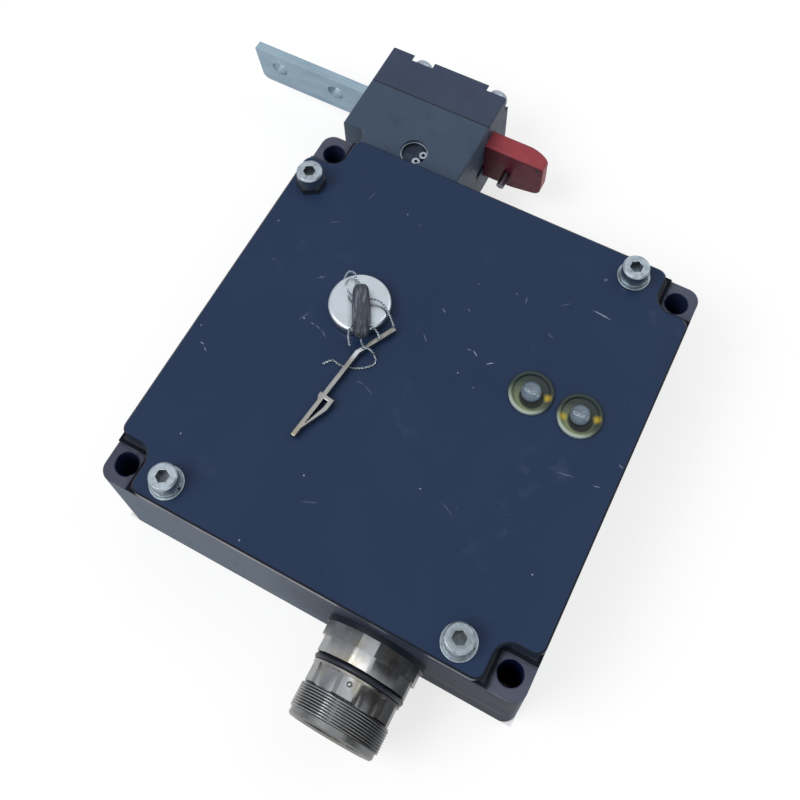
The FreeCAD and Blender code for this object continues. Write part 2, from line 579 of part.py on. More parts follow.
def strand(points):
    """A wire of eight sides along straight runs joined by tangent arcs."""
    radius = value("wire_thick") / 2
    lift = radius + value("wire_gap")
    spots = [Vector(x, y, value(level) + (0 if level == HOLE else lift)) for x, y, level in points]
    edges, start = [], spots[0]
    for before, corner, after in zip(spots, spots[1:], spots[2:]):
        back, ahead = before - corner, after - corner
        cut = WIRE_SHARE * min(back.Length, ahead.Length)
        first = corner + back.normalize() * cut
        last = corner + ahead.normalize() * cut
        half_turn = (math.pi - back.getAngle(ahead)) / 2
        bisector = (back + ahead).normalize()
        bend = cut / math.tan(half_turn)
        centre = corner + bisector * math.hypot(bend, cut)
        edges.append(Part.makeLine(start, first))
        edges.append(Part.Arc(first, centre - bisector * bend, last).toShape())
        start = last
    edges.append(Part.makeLine(start, spots[-1]))
    frame = Placement(spots[0], Rotation(Vector(0, 0, 1), spots[1] - spots[0]))
    corners = [frame.multVec(Vector(radius * math.cos(turn), radius * math.sin(turn), 0))
               for turn in (math.radians(360 / WIRE_SIDES * side) for side in range(WIRE_SIDES))]
    section = Part.makePolygon(corners + corners[:1])
    return Part.Wire(edges).makePipeShell([section], True, False)


WIRE_SHARE, WIRE_SIDES = 0.35, 8
seal_wire = doc.addObject("Part::Feature", "seal_wire")
seal_wire.Shape = Part.makeCompound([strand(points) for points in STRANDS])
NODES.append(place(seal_wire, ("release_x", "release_y", "cover_top")))

# The actuator head: a body with a wing on one side and a screwed cap, both slotted for the tongue.
def head_piece(label, outline_points):
    """A head piece's outline in plan, raised over the head's height."""
    body = new_body(label)
    plan = sketch(body, label + "_plan")
    polygon(plan, outline_points)
    pad(body, plan, "head_square", label + "_block")
    return body


def head_slot(body, low, high):
    """The tongue's slot between two heights, open at both ends."""
    cut = sketch(body, body.Label + "_slot_outline", "YZ_Plane")
    rectangle(cut, low, high, "nose_low - slot_gap", "nose_high + slot_gap")
    through(body, cut, body.Label + "_slot")


def head_holes(body, radius, low, length, name):
    cut = sketch(body, name + "_outline", "XZ_Plane", "-(%s)" % low)
    for x, z in HEAD_SCREWS:
        circle(cut, x, z, radius)
    pocket(body, cut, length, name, Reversed=False)


head = head_piece("head_body", [
    ("head_tower", "half_length"), ("head_right", "half_length"), ("head_right", "head_part"),
    ("head_left", "head_part"), ("head_left", "half_length + head_foot"),
    ("head_tower", "half_length + head_foot")])
cap = head_piece("head_cap", [
    ("head_left", "head_part"), ("head_right", "head_part"), ("head_right", "head_top"),
    ("head_left", "head_top")])
dress(head, "Fillet", lambda edge: runs_along(edge, "z") and all(
    abs(amount - value(formula)) < 1e-6 for amount, formula in (
        (ends(edge)[0].x, "head_tower"), (ends(edge)[0].y, "half_length + head_foot"))),
    "head_recess", "head_wing_root")
for piece in (head, cap):
    dress(piece, "Fillet", lambda edge: runs_along(edge, "y") and ends(edge)[0].z > 0 and abs(
        ends(edge)[0].x - value("head_tower")) > 1e-6, "head_edge", piece.Label + "_edges")
head_slot(head, "well_top", "head_part + slot_gap")
head_slot(cap, "head_part - slot_gap", "nose_back + slot_gap")
keyway = sketch(head, "head_keyway_outline", "YZ_Plane")
rectangle(keyway, "keyway_low", "well_top + slot_gap", "pin_z - pin_outer - pin_gap",
          "pin_z + pin_outer + pin_gap")
through(head, keyway, "head_keyway")
well = sketch(head, "head_well_outline", "XZ_Plane", "-half_length")
rectangle(well, "head_axis_x - well_half_x", "head_axis_x + well_half_x",
          "head_mid - well_half_z", "head_mid + well_half_z")
pocket(head, well, "well_top - half_length + slot_gap", "head_well", Reversed=False)
axis = sketch(head, "head_pivot_outline", lift="head_square")
circle(axis, "head_axis_x", "pivot_line", "pivot_bore")
pocket(head, axis, "head_square - case_floor + thread_gap", "head_pivot_bore")
seat = sketch(head, "head_ring_outline", lift="ring_low + ring_thick")
circle(seat, "head_axis_x", "pivot_line", "pivot_bore + ring_groove")
pocket(head, seat, "ring_thick", "head_ring_groove")
head_holes(head, "head_screw_bore", "half_length", "head_split", "head_screw_holes")
head_holes(cap, "head_screw_bore", "head_part", "head_cap_height", "cap_screw_holes")
sinks = sketch(cap, "cap_sinks", "XZ_Plane", "-head_top")
for x, z in HEAD_SCREWS:
    circle(sinks, x, z, "head_screw_pocket")
pocket(cap, sinks, "head_screw_drop", "cap_pockets", Reversed=True)

bolts = []
for index, (x, z) in enumerate(HEAD_SCREWS):
    bolt = turned("head_screw_%d" % index, [
        ("0", "-(head_top - head_screw_drop - half_length + head_screw_bite)"),
        ("head_screw_shank", "-(head_top - head_screw_drop - half_length + head_screw_bite)"),
        ("head_screw_shank", "0"), ("head_screw_head", "0")] + shoulder(
        "head_screw_head", "head_screw_dome", "head_screw_round", 2) + [
        ("0", "head_screw_dome")], (x, "head_top - head_screw_drop", z), "head", node=False)
    cross = sketch(bolt, "head_screw_cross_%d" % index, lift="head_screw_dome")
    rectangle(cross, "-cross_half", "cross_half", "-cross_wide", "cross_wide")
    pocket(bolt, cross, "cross_deep", "head_screw_slot_%d" % index)
    arm = sketch(bolt, "head_screw_arm_%d" % index, lift="head_screw_dome")
    rectangle(arm, "-cross_wide", "cross_wide", "-cross_half", "cross_half")
    pocket(bolt, arm, "cross_deep", "head_screw_across_%d" % index)
    bolts.append(bolt)
group("head_screws", bolts)

disc("pivot_shaft", ("head_axis_x", "pivot_line", "case_floor"), "shaft_outer",
     "head_square - pivot_drop - case_floor")
circlip = ring("retaining_ring", ("head_axis_x", "pivot_line", "ring_low"),
               "pivot_bore + ring_groove - ring_band", "pivot_bore + ring_groove", "ring_thick",
               spin="ring_gap_turn")
opening = sketch(circlip, "ring_opening")
polygon(opening, [("0", "0"), ("pivot_bore + ring_eye", "-(pivot_bore + ring_eye) * "
                               "tan(ring_gap_half * 1 deg)"),
                  ("pivot_bore + ring_eye", "(pivot_bore + ring_eye) * "
                   "tan(ring_gap_half * 1 deg)")])
through(circlip, opening, "ring_gap")
eyes = sketch(circlip, "ring_eyes")
holes = sketch(circlip, "ring_eye_holes")
for side in (-1, 1):
    spot = ("ring_eye_reach * cos(ring_gap_half * 1 deg)",
            "%d * ring_eye_reach * sin(ring_gap_half * 1 deg)" % side)
    circle(eyes, *spot, "ring_eye")
    circle(holes, *spot, "ring_eye_bore")
pad(circlip, eyes, "ring_thick", "ring_eyelets")
through(circlip, holes, "ring_tool_holes")

# The rocker that the tongue's cross pin passes over and the locking plunger holds.
rocker = disc("rocker_lever", ("head_axis_x", "pivot_line", "head_mid - rocker_thick / 2"),
              "rocker_hub", "rocker_thick")
arm = sketch(rocker, "rocker_arm")
rectangle(arm, "-rocker_tip", "rocker_tip", "0", "tip_centre")
pad(rocker, arm, "rocker_thick", "rocker_arm_pad")
tip = sketch(rocker, "rocker_tip_outline")
circle(tip, "0", "tip_centre", "rocker_tip")
pad(rocker, tip, "rocker_thick", "rocker_tip_pad")
bore = sketch(rocker, "rocker_bore_outline")
circle(bore, "0", "0", "pivot_bore")
through(rocker, bore, "rocker_bore")

# The tongue: a zinc-plated bar riveted into a thick wedge-ended nose, with a cross pin.
tongue = new_body("tongue_bar")
side_view = sketch(tongue, "tongue_outline", "XZ_Plane", "-(tongue_front + bar_thick)")
bar_low, bar_high = "(head_mid - bar_width / 2)", "(head_mid + bar_width / 2)"
polygon(side_view, [("bar_end + bar_slant", bar_low), ("bar_root", bar_low),
                    ("bar_root", bar_high), ("bar_end", bar_high)])
pad(tongue, side_view, "bar_thick")
dress(tongue, "Fillet", lambda edge: runs_along(edge, "y") and abs(
    ends(edge)[0].x - value("bar_end + bar_slant")) < 1e-6, "bar_corner", "tongue_corner")
punched = sketch(tongue, "tongue_punched", "XZ_Plane", "-tongue_front")
for step in (0, 1):
    circle(punched, "bar_end + bar_hole_first + %d * bar_hole_pitch" % step,
           "head_mid + bar_hole_rise", "bar_hole")
circle(punched, "pin_x", "pin_z", "pin_outer")
circle(punched, "rivet_x", "head_mid", "rivet_outer")
pocket(tongue, punched, "bar_thick", "tongue_holes", Reversed=False)

# The nose seen from the front: its lower edge rises towards the tip, its corners are rounded.
# In plan its back curves in to a narrow end face.
nose = new_body("tongue_nose")
side_view = sketch(nose, "nose_outline", "XZ_Plane", "-nose_back")
polygon(side_view, [
    ("nose_start", "nose_low"), ("nose_end - nose_slope", "nose_low"),
    ("nose_end", "nose_low + nose_slope_rise"), ("nose_end", "nose_high"),
    ("nose_start", "nose_high")])
pad(nose, side_view, "nose_thick")
for x, z, size, name in (
        ("nose_end - nose_slope", "nose_low", "nose_slope_round", "nose_lower_edge"),
        ("nose_end", "nose_low + nose_slope_rise", "nose_round_low", "nose_lower_corner"),
        ("nose_end", "nose_high", "nose_round_high", "nose_upper_corner")):
    dress(nose, "Fillet", lambda edge: runs_along(edge, "y") and abs(
        ends(edge)[0].x - value(x)) < 1e-6 and abs(ends(edge)[0].z - value(z)) < 1e-6,
        size, name)
bevel = sketch(nose, "nose_bevel", lift="nose_low")
polygon(bevel, [("nose_end - nose_taper", "nose_back"),
                ("nose_end", "nose_back - nose_taper_depth"), ("nose_end", "nose_back")])
pocket(nose, bevel, "nose_width", "nose_wedge", Reversed=True)
dress(nose, "Fillet", lambda edge: runs_along(edge, "z") and abs(
    ends(edge)[0].x - value("nose_end - nose_taper")) < 1e-6, "nose_taper_round", "nose_back_curve")
socket = sketch(nose, "nose_socket_outline", "YZ_Plane", "nose_start")
rectangle(socket, "tongue_front", "tongue_front + bar_thick", bar_low, bar_high)
pocket(nose, socket, "bar_root - nose_start", "nose_socket", Reversed=True)
drilled = sketch(nose, "nose_drilled", "XZ_Plane", "-nose_front")
circle(drilled, "pin_x", "pin_z", "pin_outer")
circle(drilled, "rivet_x", "head_mid", "rivet_outer")
pocket(nose, drilled, "nose_thick", "nose_holes", Reversed=False)
disc("cross_pin", ("pin_x", "nose_front - pin_stand", "pin_z"), "pin_outer",
     "pin_stand + nose_thick", "head")
disc("nose_rivet", ("rivet_x", "nose_front", "head_mid"), "rivet_outer", "nose_thick", "head")

# The locking plunger, its bushing in the case wall, the solenoid and the two contact blocks.
disc("locking_plunger", ("head_axis_x", "plunger_end - plunger_length", "head_mid"),
     "plunger_outer", "plunger_length", "head")
ring("plunger_bushing", ("head_axis_x", "half_length - bushing_length", "head_mid"),
     "plunger_outer + plunger_fit", "bushing_outer", "bushing_length", "head")
ring("solenoid_coil", ("head_axis_x", "coil_start", "head_mid"), "coil_bore", "coil_outer",
     "coil_length", "head")
frame = new_body("solenoid_frame")
profile = sketch(frame, "frame_profile", "YZ_Plane", "head_axis_x - coil_outer")
inner, outer = "(coil_start - frame_thick)", "(coil_start + coil_length + frame_thick)"
top = "(head_mid + coil_outer)"
polygon(profile, [
    (inner, "case_floor"), (outer, "case_floor"), (outer, top), ("coil_start + coil_length", top),
    ("coil_start + coil_length", "case_floor + frame_thick"),
    ("coil_start", "case_floor + frame_thick"), ("coil_start", top), (inner, top)])
pad(frame, profile, "2 * coil_outer", "frame_channel")
passage = sketch(frame, "frame_passage_outline", "XZ_Plane", "-coil_start - coil_length / 2")
circle(passage, "head_axis_x", "head_mid", "coil_bore")
through(frame, passage, "frame_passage")

yoke = new_body("plunger_yoke", ("head_axis_x", "yoke_start", "head_mid"), "head")
plate = sketch(yoke, "yoke_outline")
rectangle(plate, "-yoke_half", "yoke_half", "-yoke_height / 2", "yoke_height / 2")
pad(yoke, plate, "yoke_thick")
grip = sketch(yoke, "yoke_grip")
circle(grip, "0", "0", "plunger_outer")
through(yoke, grip, "yoke_bore")
for side, name in ((-1, "left"), (1, "right")):
    x = "head_axis_x + %d * block_offset" % side
    disc("tappet_" + name, (x, "block_end - tappet_tail", "head_mid"), "tappet_outer",
         "tappet_reach + tappet_tail", "head")
    block = new_body("switch_block_" + name, (x, "block_start", "case_floor"))
    foot = sketch(block, "block_foot_" + name)
    rectangle(foot, "-block_width / 2", "block_width / 2", "0", "block_length")
    pad(block, foot, "block_height")
    guide = sketch(block, "block_guide_" + name, "XZ_Plane", "-block_length")
    circle(guide, "0", "head_mid - case_floor", "tappet_outer + tappet_fit")
    pocket(block, guide, "tappet_tail + tappet_reach", "block_bore_" + name, Reversed=True)

# The connector, all its pieces on the axis that leaves the -Y wall.
PLUG = ("plug_x", "-half_length", "plug_z")


def faceted(body, across, cut, low, length, name):
    """A length of the connector with twelve flats."""
    section = sketch(body, name + "_flats", lift=low)
    flats(section, across, cut)
    pad(body, section, length, name)


def round_length(body, radius, low, length, name):
    section = sketch(body, name + "_round", lift=low)
    circle(section, "0", "0", radius)
    pad(body, section, length, name)


ring("connector_gasket", PLUG, "plug_tail", "plug_gasket_outer", "plug_gasket", "plug")
flange = new_body("connector_flange", PLUG, "plug")
faceted(flange, "plug_flange_flats", "plug_flange_cut", "plug_gasket", "plug_flange", "flange_body")
bore = sketch(flange, "flange_bore_outline")
circle(bore, "0", "0", "plug_tail")
through(flange, bore, "flange_bore")

shell = new_body("connector_shell", PLUG, "plug")
tail_end = "(case_wall + plug_nut + tail_past_nut)"
round_length(shell, "plug_tail", "-" + tail_end, tail_end + " + step_start", "shell_tail")
faceted(shell, "plug_step_flats", "plug_step_cut", "step_start", "plug_step", "shell_step")
round_length(shell, "plug_ring_reach - 2 * plug_ring", "step_end", "2 * plug_ring", "shell_seat")
round_length(shell, "plug_lip_outer", "seat_end", "plug_lip", "shell_lip")
faceted(shell, "plug_body_flats", "plug_body_cut", "lip_end", "plug_body", "shell_body")
round_length(shell, "plug_thread_outer", "plug_body_end", "plug_thread", "shell_thread")
round_length(shell, "plug_end_outer", "thread_end", "plug_end", "shell_end")
dress(shell, "Chamfer", lambda edge: abs(edge.BoundBox.ZMin - value("plug_tip")) < 1e-6,
      "plug_end_edge", "shell_end_edge")
hollow = sketch(shell, "shell_hollow_outline", lift="plug_tip")
circle(hollow, "0", "0", "plug_bore")
pocket(shell, hollow, "plug_bore_depth", "shell_hollow")
nut = new_body("connector_nut", PLUG, "plug")
faceted(nut, "plug_nut_flats", HEXAGON % "plug_nut_flats", "-case_wall - plug_nut", "plug_nut",
        "nut_body")
bore = sketch(nut, "nut_bore_outline")
circle(bore, "0", "0", "plug_tail")
through(nut, bore, "nut_bore")

packing = new_body("connector_o_ring", PLUG, "plug")
section = sketch(packing, "o_ring_section", "XZ_Plane")
polygon(section, [
    ("plug_ring_reach - plug_ring + plug_ring * cos(%d deg)" % turn,
     "step_end + plug_ring + plug_ring * sin(%d deg)" % turn) for turn in range(0, 360, 30)])
feature(packing, "Revolution", "o_ring_turn", section, ReferenceAxis=(section, ["V_Axis"]))
insert = new_body("connector_insert", PLUG, "plug")
round_length(insert, "plug_bore - insert_gap", "bore_floor", "insert_thick", "insert_disc")
contacts = []
for radius, turns in (("pin_ring_outer", range(0, 360, 40)), ("pin_ring_inner", range(0, 360, 120))):
    for turn in turns:
        spot = "%s * cos(%d deg)" % (radius, turn), "%s * sin(%d deg)" % (radius, turn)
        contacts.append(disc("contact_%s_%d" % (radius, turn), (
            "plug_x + " + spot[0], "-half_length - insert_end", "plug_z + " + spot[1]),
            "pin_contact", "pin_contact_reach", "plug", node=False))
group("connector_pins", contacts)

doc.recompute()
for item in doc.Objects:
    if set(item.State) & {"Invalid", "Error"}:
        raise RuntimeError("%s failed: %s" % (item.Label, item.State))
os.makedirs("parts", exist_ok=True)
for node in NODES:
    if node.Shape.isNull() or not node.Shape.isValid() or not node.Shape.Solids:
        raise RuntimeError("no valid solid in " + node.Label)
    node.Shape.exportStep("parts/%s.step" % node.Label)
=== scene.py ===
"""Looks of the tongue interlock switch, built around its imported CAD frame.

Everything is in metres in the frame's own axes: Z out of the cover, Y towards the head.
"""
import math

import bmesh
import bpy
from mathutils import Matrix, Vector


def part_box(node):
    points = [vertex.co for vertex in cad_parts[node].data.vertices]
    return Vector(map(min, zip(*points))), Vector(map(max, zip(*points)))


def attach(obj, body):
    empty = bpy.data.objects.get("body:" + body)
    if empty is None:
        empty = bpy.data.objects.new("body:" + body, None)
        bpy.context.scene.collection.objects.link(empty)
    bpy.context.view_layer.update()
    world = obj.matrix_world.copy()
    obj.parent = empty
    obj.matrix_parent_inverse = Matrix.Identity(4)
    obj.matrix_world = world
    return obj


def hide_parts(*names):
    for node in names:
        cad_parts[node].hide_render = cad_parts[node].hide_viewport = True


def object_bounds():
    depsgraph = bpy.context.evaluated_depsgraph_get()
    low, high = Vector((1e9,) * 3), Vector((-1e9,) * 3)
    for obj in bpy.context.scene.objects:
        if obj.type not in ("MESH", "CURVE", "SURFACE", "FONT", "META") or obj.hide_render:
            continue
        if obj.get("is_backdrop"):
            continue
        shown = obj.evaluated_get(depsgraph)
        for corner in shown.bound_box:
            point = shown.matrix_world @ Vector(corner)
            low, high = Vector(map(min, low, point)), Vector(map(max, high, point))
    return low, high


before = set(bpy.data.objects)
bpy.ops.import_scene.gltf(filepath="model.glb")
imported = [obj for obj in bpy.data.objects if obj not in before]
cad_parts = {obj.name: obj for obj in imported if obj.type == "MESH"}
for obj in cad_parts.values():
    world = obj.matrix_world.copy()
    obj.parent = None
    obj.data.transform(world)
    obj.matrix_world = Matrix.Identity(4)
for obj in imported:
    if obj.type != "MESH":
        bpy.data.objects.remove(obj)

bl_info = {
    "name": "Interlock Switch Looks",
    "version": (2, 0, 0),
    "blender": (4, 5, 0),
    "location": "View3D > Sidebar > Switch",
    "description": "Finishes, fine shapes, camera and light of the tongue interlock switch",
    "category": "Object",
}

MM = 0.001


def size(name, description, default):
    """A length that a user may change, its default given in millimetres."""
    return bpy.props.FloatProperty(name=name, description=description, default=default * MM,
                                   unit="LENGTH", subtype="DISTANCE", precision=5)


def tint(name, description, default):
    """A colour that a user may change, as an sRGB hex value."""
    return bpy.props.StringProperty(name=name, description=description, default=default)


class SwitchSettings(bpy.types.PropertyGroup):
    """Sizes and colours of the switch's looks"""
    thread_pitch: size("Thread Pitch", "Pitch of the connector's fine outer thread", 0.63)
    thread_depth: size("Thread Depth", "Depth of the connector's thread", 0.28)
    wire_thick: size("Wire Thickness", "Thickness of the pair of twisted seal wires", 0.66)
    wire_turn: size("Wire Lay", "Length of one turn of the seal wire's twist", 1.7)
    seal_press: size("Seal Pressing", "Depth of the creases that the pliers left in the seal", 0.32)
    cover_colour: tint("Cover", "Dark blue enamel of the cover", "#20324F")
    case_colour: tint("Case", "Violet grey coat on the top faces of the case", "#4B4A5C")
    # The walls take the same coat as the tops, drawn lighter by painted light.
    wall_painted_light_colour: tint("Walls", "Rubbed grey coat on the walls of the case", "#525D6C")
    head_colour: tint("Head", "Slate grey coat of the head body", "#415063")
    cap_colour: tint("Cap", "Violet grey coat of the head's cap", "#3C455A")
    # The nose is one red enamel: its top is drawn paler by painted light and its front darker by
    # painted shade.
    nose_top_light_colour: tint("Nose", "Brick red enamel on the top of the nose", "#9C3D45")
    nose_front_shade_colour: tint("Nose Front", "Dark red of the nose's less worn front", "#68182E")
    zinc_colour: tint("Zinc", "Blue white zinc plating of the tongue bar", "#A3BAC6")
    steel_colour: tint("Steel", "Zinc-plated steel of the screws", "#ABB7C0")
    nickel_colour: tint("Nickel", "Bright nickel plating of the knob", "#C6CED6")
    shell_colour: tint("Shell", "Stained nickel plating of the connector", "#A1A4A7")
    key_colour: tint("Key", "Worn nickel plating of the release key", "#A6A6A4")
    lead_colour: tint("Lead", "Pressed lead of the seal", "#3B404B")
    rubber_colour: tint("Rubber", "Navy rubber of the O-ring and the gaskets", "#0D1220")
    resin_colour: tint("Resin", "Olive resin of the windows", "#323E3C")
    lamp_colour: tint("Lamp", "Clear epoxy of the lamps", "#C4D0DA")
    floor_colour: tint("Floor", "White floor", "#FFFFFF")


def linear(hex_colour):
    """An sRGB hex colour as the linear colour that shaders take."""
    parts = [int(hex_colour[i:i + 2], 16) / 255 for i in (1, 3, 5)]
    return tuple(c / 12.92 if c <= 0.04045 else ((c + 0.055) / 1.055) ** 2.4
                 for c in parts) + (1.0,)


class Nodes:
    """A tree of nodes being written."""

    def __init__(self, tree):
        self.tree = tree

    def add(self, kind, inputs=None, out=0, **settings):
        """One node with its settings and links. Gives its output."""
        node = self.tree.nodes.new(kind)
        for key, amount in settings.items():
            setattr(node, key, amount)
        self.wire(node, inputs or {})
        return node.outputs[out]

    def wire(self, node, inputs):
        """Set or link inputs of a node."""
        for key, amount in inputs.items():
            if isinstance(amount, bpy.types.NodeSocket):
                self.tree.links.new(amount, node.inputs[key])
            else:
                node.inputs[key].default_value = amount


class Finish(Nodes):
    """A finish being written as nodes, with its place on the switch in metres."""

    def __init__(self, name):
        self.material = bpy.data.materials.new(name)
        self.material.use_nodes = True
        super().__init__(self.material.node_tree)
        self.shader = self.tree.nodes["Principled BSDF"]
        self.place = self.add("ShaderNodeTexCoord", out="Object")

    def end(self, **inputs):
        """Set or link the shader's own sockets, _ for a space, and give the material."""
        self.wire(self.shader, {key.replace("_", " "): amount for key, amount in inputs.items()})
        return self.material


def clouds(f, across, low, high, stretch=(1, 1, 1), detail=4.0):
    """Blotches about that many millimetres across, from 0 where the noise is low to 1 where
    it is high. A stretch over 1 packs them closer along that axis."""
    where = f.add("ShaderNodeMapping", {"Vector": f.place,
                                        "Scale": [s / (across * MM) for s in stretch]})
    blots = f.add("ShaderNodeTexNoise", {"Vector": where, "Scale": 1.0, "Detail": detail,
                                         "Roughness": 0.6})
    return f.add("ShaderNodeMapRange", {"Value": blots, "From Min": low, "From Max": high})


def stained(f, base, *stains):
    """The base colour under stains, each a mask, how strongly it covers, and its colour."""
    for mask, share, colour in stains:
        cover = f.add("ShaderNodeMath", {0: mask, 1: share}, operation="MULTIPLY")
        base = f.add("ShaderNodeMix", {0: cover, 6: base, 7: linear(colour)}, out=2,
                     data_type="RGBA")
    return base


def edges(f, radius):
    """1 where an edge is nearer than the radius in millimetres, 0 on open faces."""
    rounded = f.add("ShaderNodeBevel", {"Radius": radius * MM}, samples=6)
    flat = f.add("ShaderNodeNewGeometry", out="Normal")
    agree = f.add("ShaderNodeVectorMath", {0: rounded, 1: flat}, out="Value",
                  operation="DOT_PRODUCT")
    return f.add("ShaderNodeMapRange", {"Value": agree, "From Min": 0.985, "From Max": 0.8})


def rubbed_edges(f, radius, broken):
    """Edges rubbed through in places about that many millimetres long."""
    return f.add("ShaderNodeMath", {0: edges(f, radius), 1: clouds(f, broken, 0.45, 0.62)},
                 operation="MULTIPLY")


def painted_recess_shade(f, reach):
    """1 in corners and sockets within that many millimetres, where shade is painted."""
    open_sky = f.add("ShaderNodeAmbientOcclusion", {"Distance": reach * MM}, out="AO", samples=8)
    return f.add("ShaderNodeMapRange", {"Value": open_sky, "From Min": 0.82, "From Max": 0.35})


def band(f, axis, place, reach):
    """1 within a reach in millimetres of a place in metres along an axis, X, Y or Z."""
    along = f.add("ShaderNodeSeparateXYZ", {0: f.place}, out=axis)
    return f.add("ShaderNodeMath", {0: along, 1: place, 2: reach * MM}, operation="COMPARE")


def facing(f, direction, low, high):
    """From 0 to 1 as the cosine between a face's normal and the direction goes from low to
    high."""
    flat = f.add("ShaderNodeNewGeometry", out="Normal")
    agree = f.add("ShaderNodeVectorMath", {0: flat, 1: direction}, out="Value",
                  operation="DOT_PRODUCT")
    return f.add("ShaderNodeMapRange", {"Value": agree, "From Min": low, "From Max": high})


def near(f, spot, inner, outer, squash=(1, 1, 1)):
    """1 within the inner distance in millimetres of a spot, 0 beyond the outer. The squash
    scales the distance along each axis."""
    moved = f.add("ShaderNodeVectorMath", {0: f.place, 1: spot}, operation="SUBTRACT")
    pressed = f.add("ShaderNodeVectorMath", {0: moved, 1: squash}, operation="MULTIPLY")
    far = f.add("ShaderNodeVectorMath", {0: pressed}, out="Value", operation="LENGTH")
    return f.add("ShaderNodeMapRange", {"Value": far, "From Min": outer * MM,
                                        "From Max": inner * MM})


def dust(f, cell, radius, share):
    """Soft specks of that radius, one in that share of the cells, both in millimetres."""
    cells = f.add("ShaderNodeTexVoronoi", {"Vector": f.place, "Scale": 1 / (cell * MM)}).node
    close = f.add("ShaderNodeMapRange", {"Value": cells.outputs["Distance"],
                                         "From Min": radius / cell,
                                         "From Max": 0.4 * radius / cell})
    lot = f.add("ShaderNodeSeparateColor", {"Color": cells.outputs["Color"]})
    chosen = f.add("ShaderNodeMapRange", {"Value": lot, "From Min": 1 - share,
                                          "From Max": 1 - 0.6 * share})
    return f.add("ShaderNodeMath", {0: close, 1: chosen}, operation="MULTIPLY")


# Scuffs on the cover: both ends in millimetres, width in millimetres and how pale it is.
SCUFFS = [
    ((32.5, 37), (38.5, 36.5), 0.45, 0.75), ((9, 12.5), (10.5, 13), 0.2, 0.7),
    ((10.5, 13), (12.5, 12), 0.3, 0.8), ((15, 11), (17, 12.5), 0.3, 1.0),
    ((25, 26), (27.5, 25), 0.3, 0.25), ((25, 34), (27.5, 36.5), 0.2, 0.3),
    ((41.5, -6), (46.5, -5), 0.2, 0.5), ((50.5, -5), (52.5, -4.5), 0.3, 0.5),
    ((54, 2.5), (55.5, 2), 0.6, 0.35), ((17, 30.5), (16.5, 33), 0.2, 0.45),
    ((32, 46), (33, 47), 1.0, 0.3), ((-29.5, 1), (-28, 1), 0.25, 0.5),
    ((-28, 1), (-26, 0.5), 0.25, 0.5), ((-26, 0.5), (-23.5, -1), 0.25, 0.45),
    ((-32.5, 0), (-31, 3.5), 0.2, 0.4), ((-51.5, -16.5), (-50, -16.5), 0.3, 0.8),
    ((-50, -17), (-48.5, -18), 0.25, 0.75), ((-34.5, 12.5), (-32, 14.5), 0.25, 0.35),
    ((-34, 14), (-32.5, 13), 0.2, 0.3), ((-34, 39.5), (-33, 43), 0.2, 0.3),
    ((-40, 28.5), (-37, 30.5), 0.2, 0.3), ((-11.5, -7.5), (-9, -7.5), 0.2, 0.35),
    ((-9, -7.5), (-6, -9), 0.2, 0.35), ((-1.5, 20), (0, 19), 0.3, 0.5),
    ((4.5, 23), (5.5, 22), 0.3, 0.4), ((-2.5, 11.5), (-0.5, 9.5), 0.3, 0.35),
    ((20.5, -24.5), (25, -26.5), 0.2, 0.25), ((-8.5, -40), (-4, -38), 0.2, 0.3),
]
# How far noise shakes a scuff's outline in millimetres, and its waves in each metre.
SHAKE = 0.4
WAVES = 900.0


def scuffs(f):
    """The cover's scuffs: thin ragged strokes, each fading out at its ends."""
    shake = f.add("ShaderNodeTexNoise", {"Vector": f.place, "Scale": WAVES, "Detail": 3.0},
                  out="Color")
    shaken = f.add("ShaderNodeVectorMath", {0: shake, 1: (SHAKE * MM, SHAKE * MM, 0),
                                            2: f.place}, operation="MULTIPLY_ADD")
    # Noise lies about a half, so half the shake moves every stroke, and is put back here.
    drift = Vector((SHAKE, SHAKE)) / 2
    total = None
    for start, finish, width, pale in SCUFFS:
        run = (Vector(finish) - Vector(start)) * MM
        centre = ((Vector(start) + Vector(finish)) / 2 + drift) * MM
        local = f.add("ShaderNodeMapping", {
            "Vector": shaken, "Location": (centre.x, centre.y, 0),
            "Rotation": (0, 0, math.atan2(run.y, run.x)),
            "Scale": (run.length / 2, width / 2 * MM, 1)}, vector_type="TEXTURE")
        reach = f.add("ShaderNodeVectorMath", {0: local}, out="Value", operation="LENGTH")
        stroke = f.add("ShaderNodeMapRange", {"Value": reach, "From Min": 1.0, "From Max": 0.4,
                                              "To Max": pale})
        total = stroke if total is None else f.add("ShaderNodeMath", {0: total, 1: stroke},
                                                   operation="MAXIMUM")
    return total


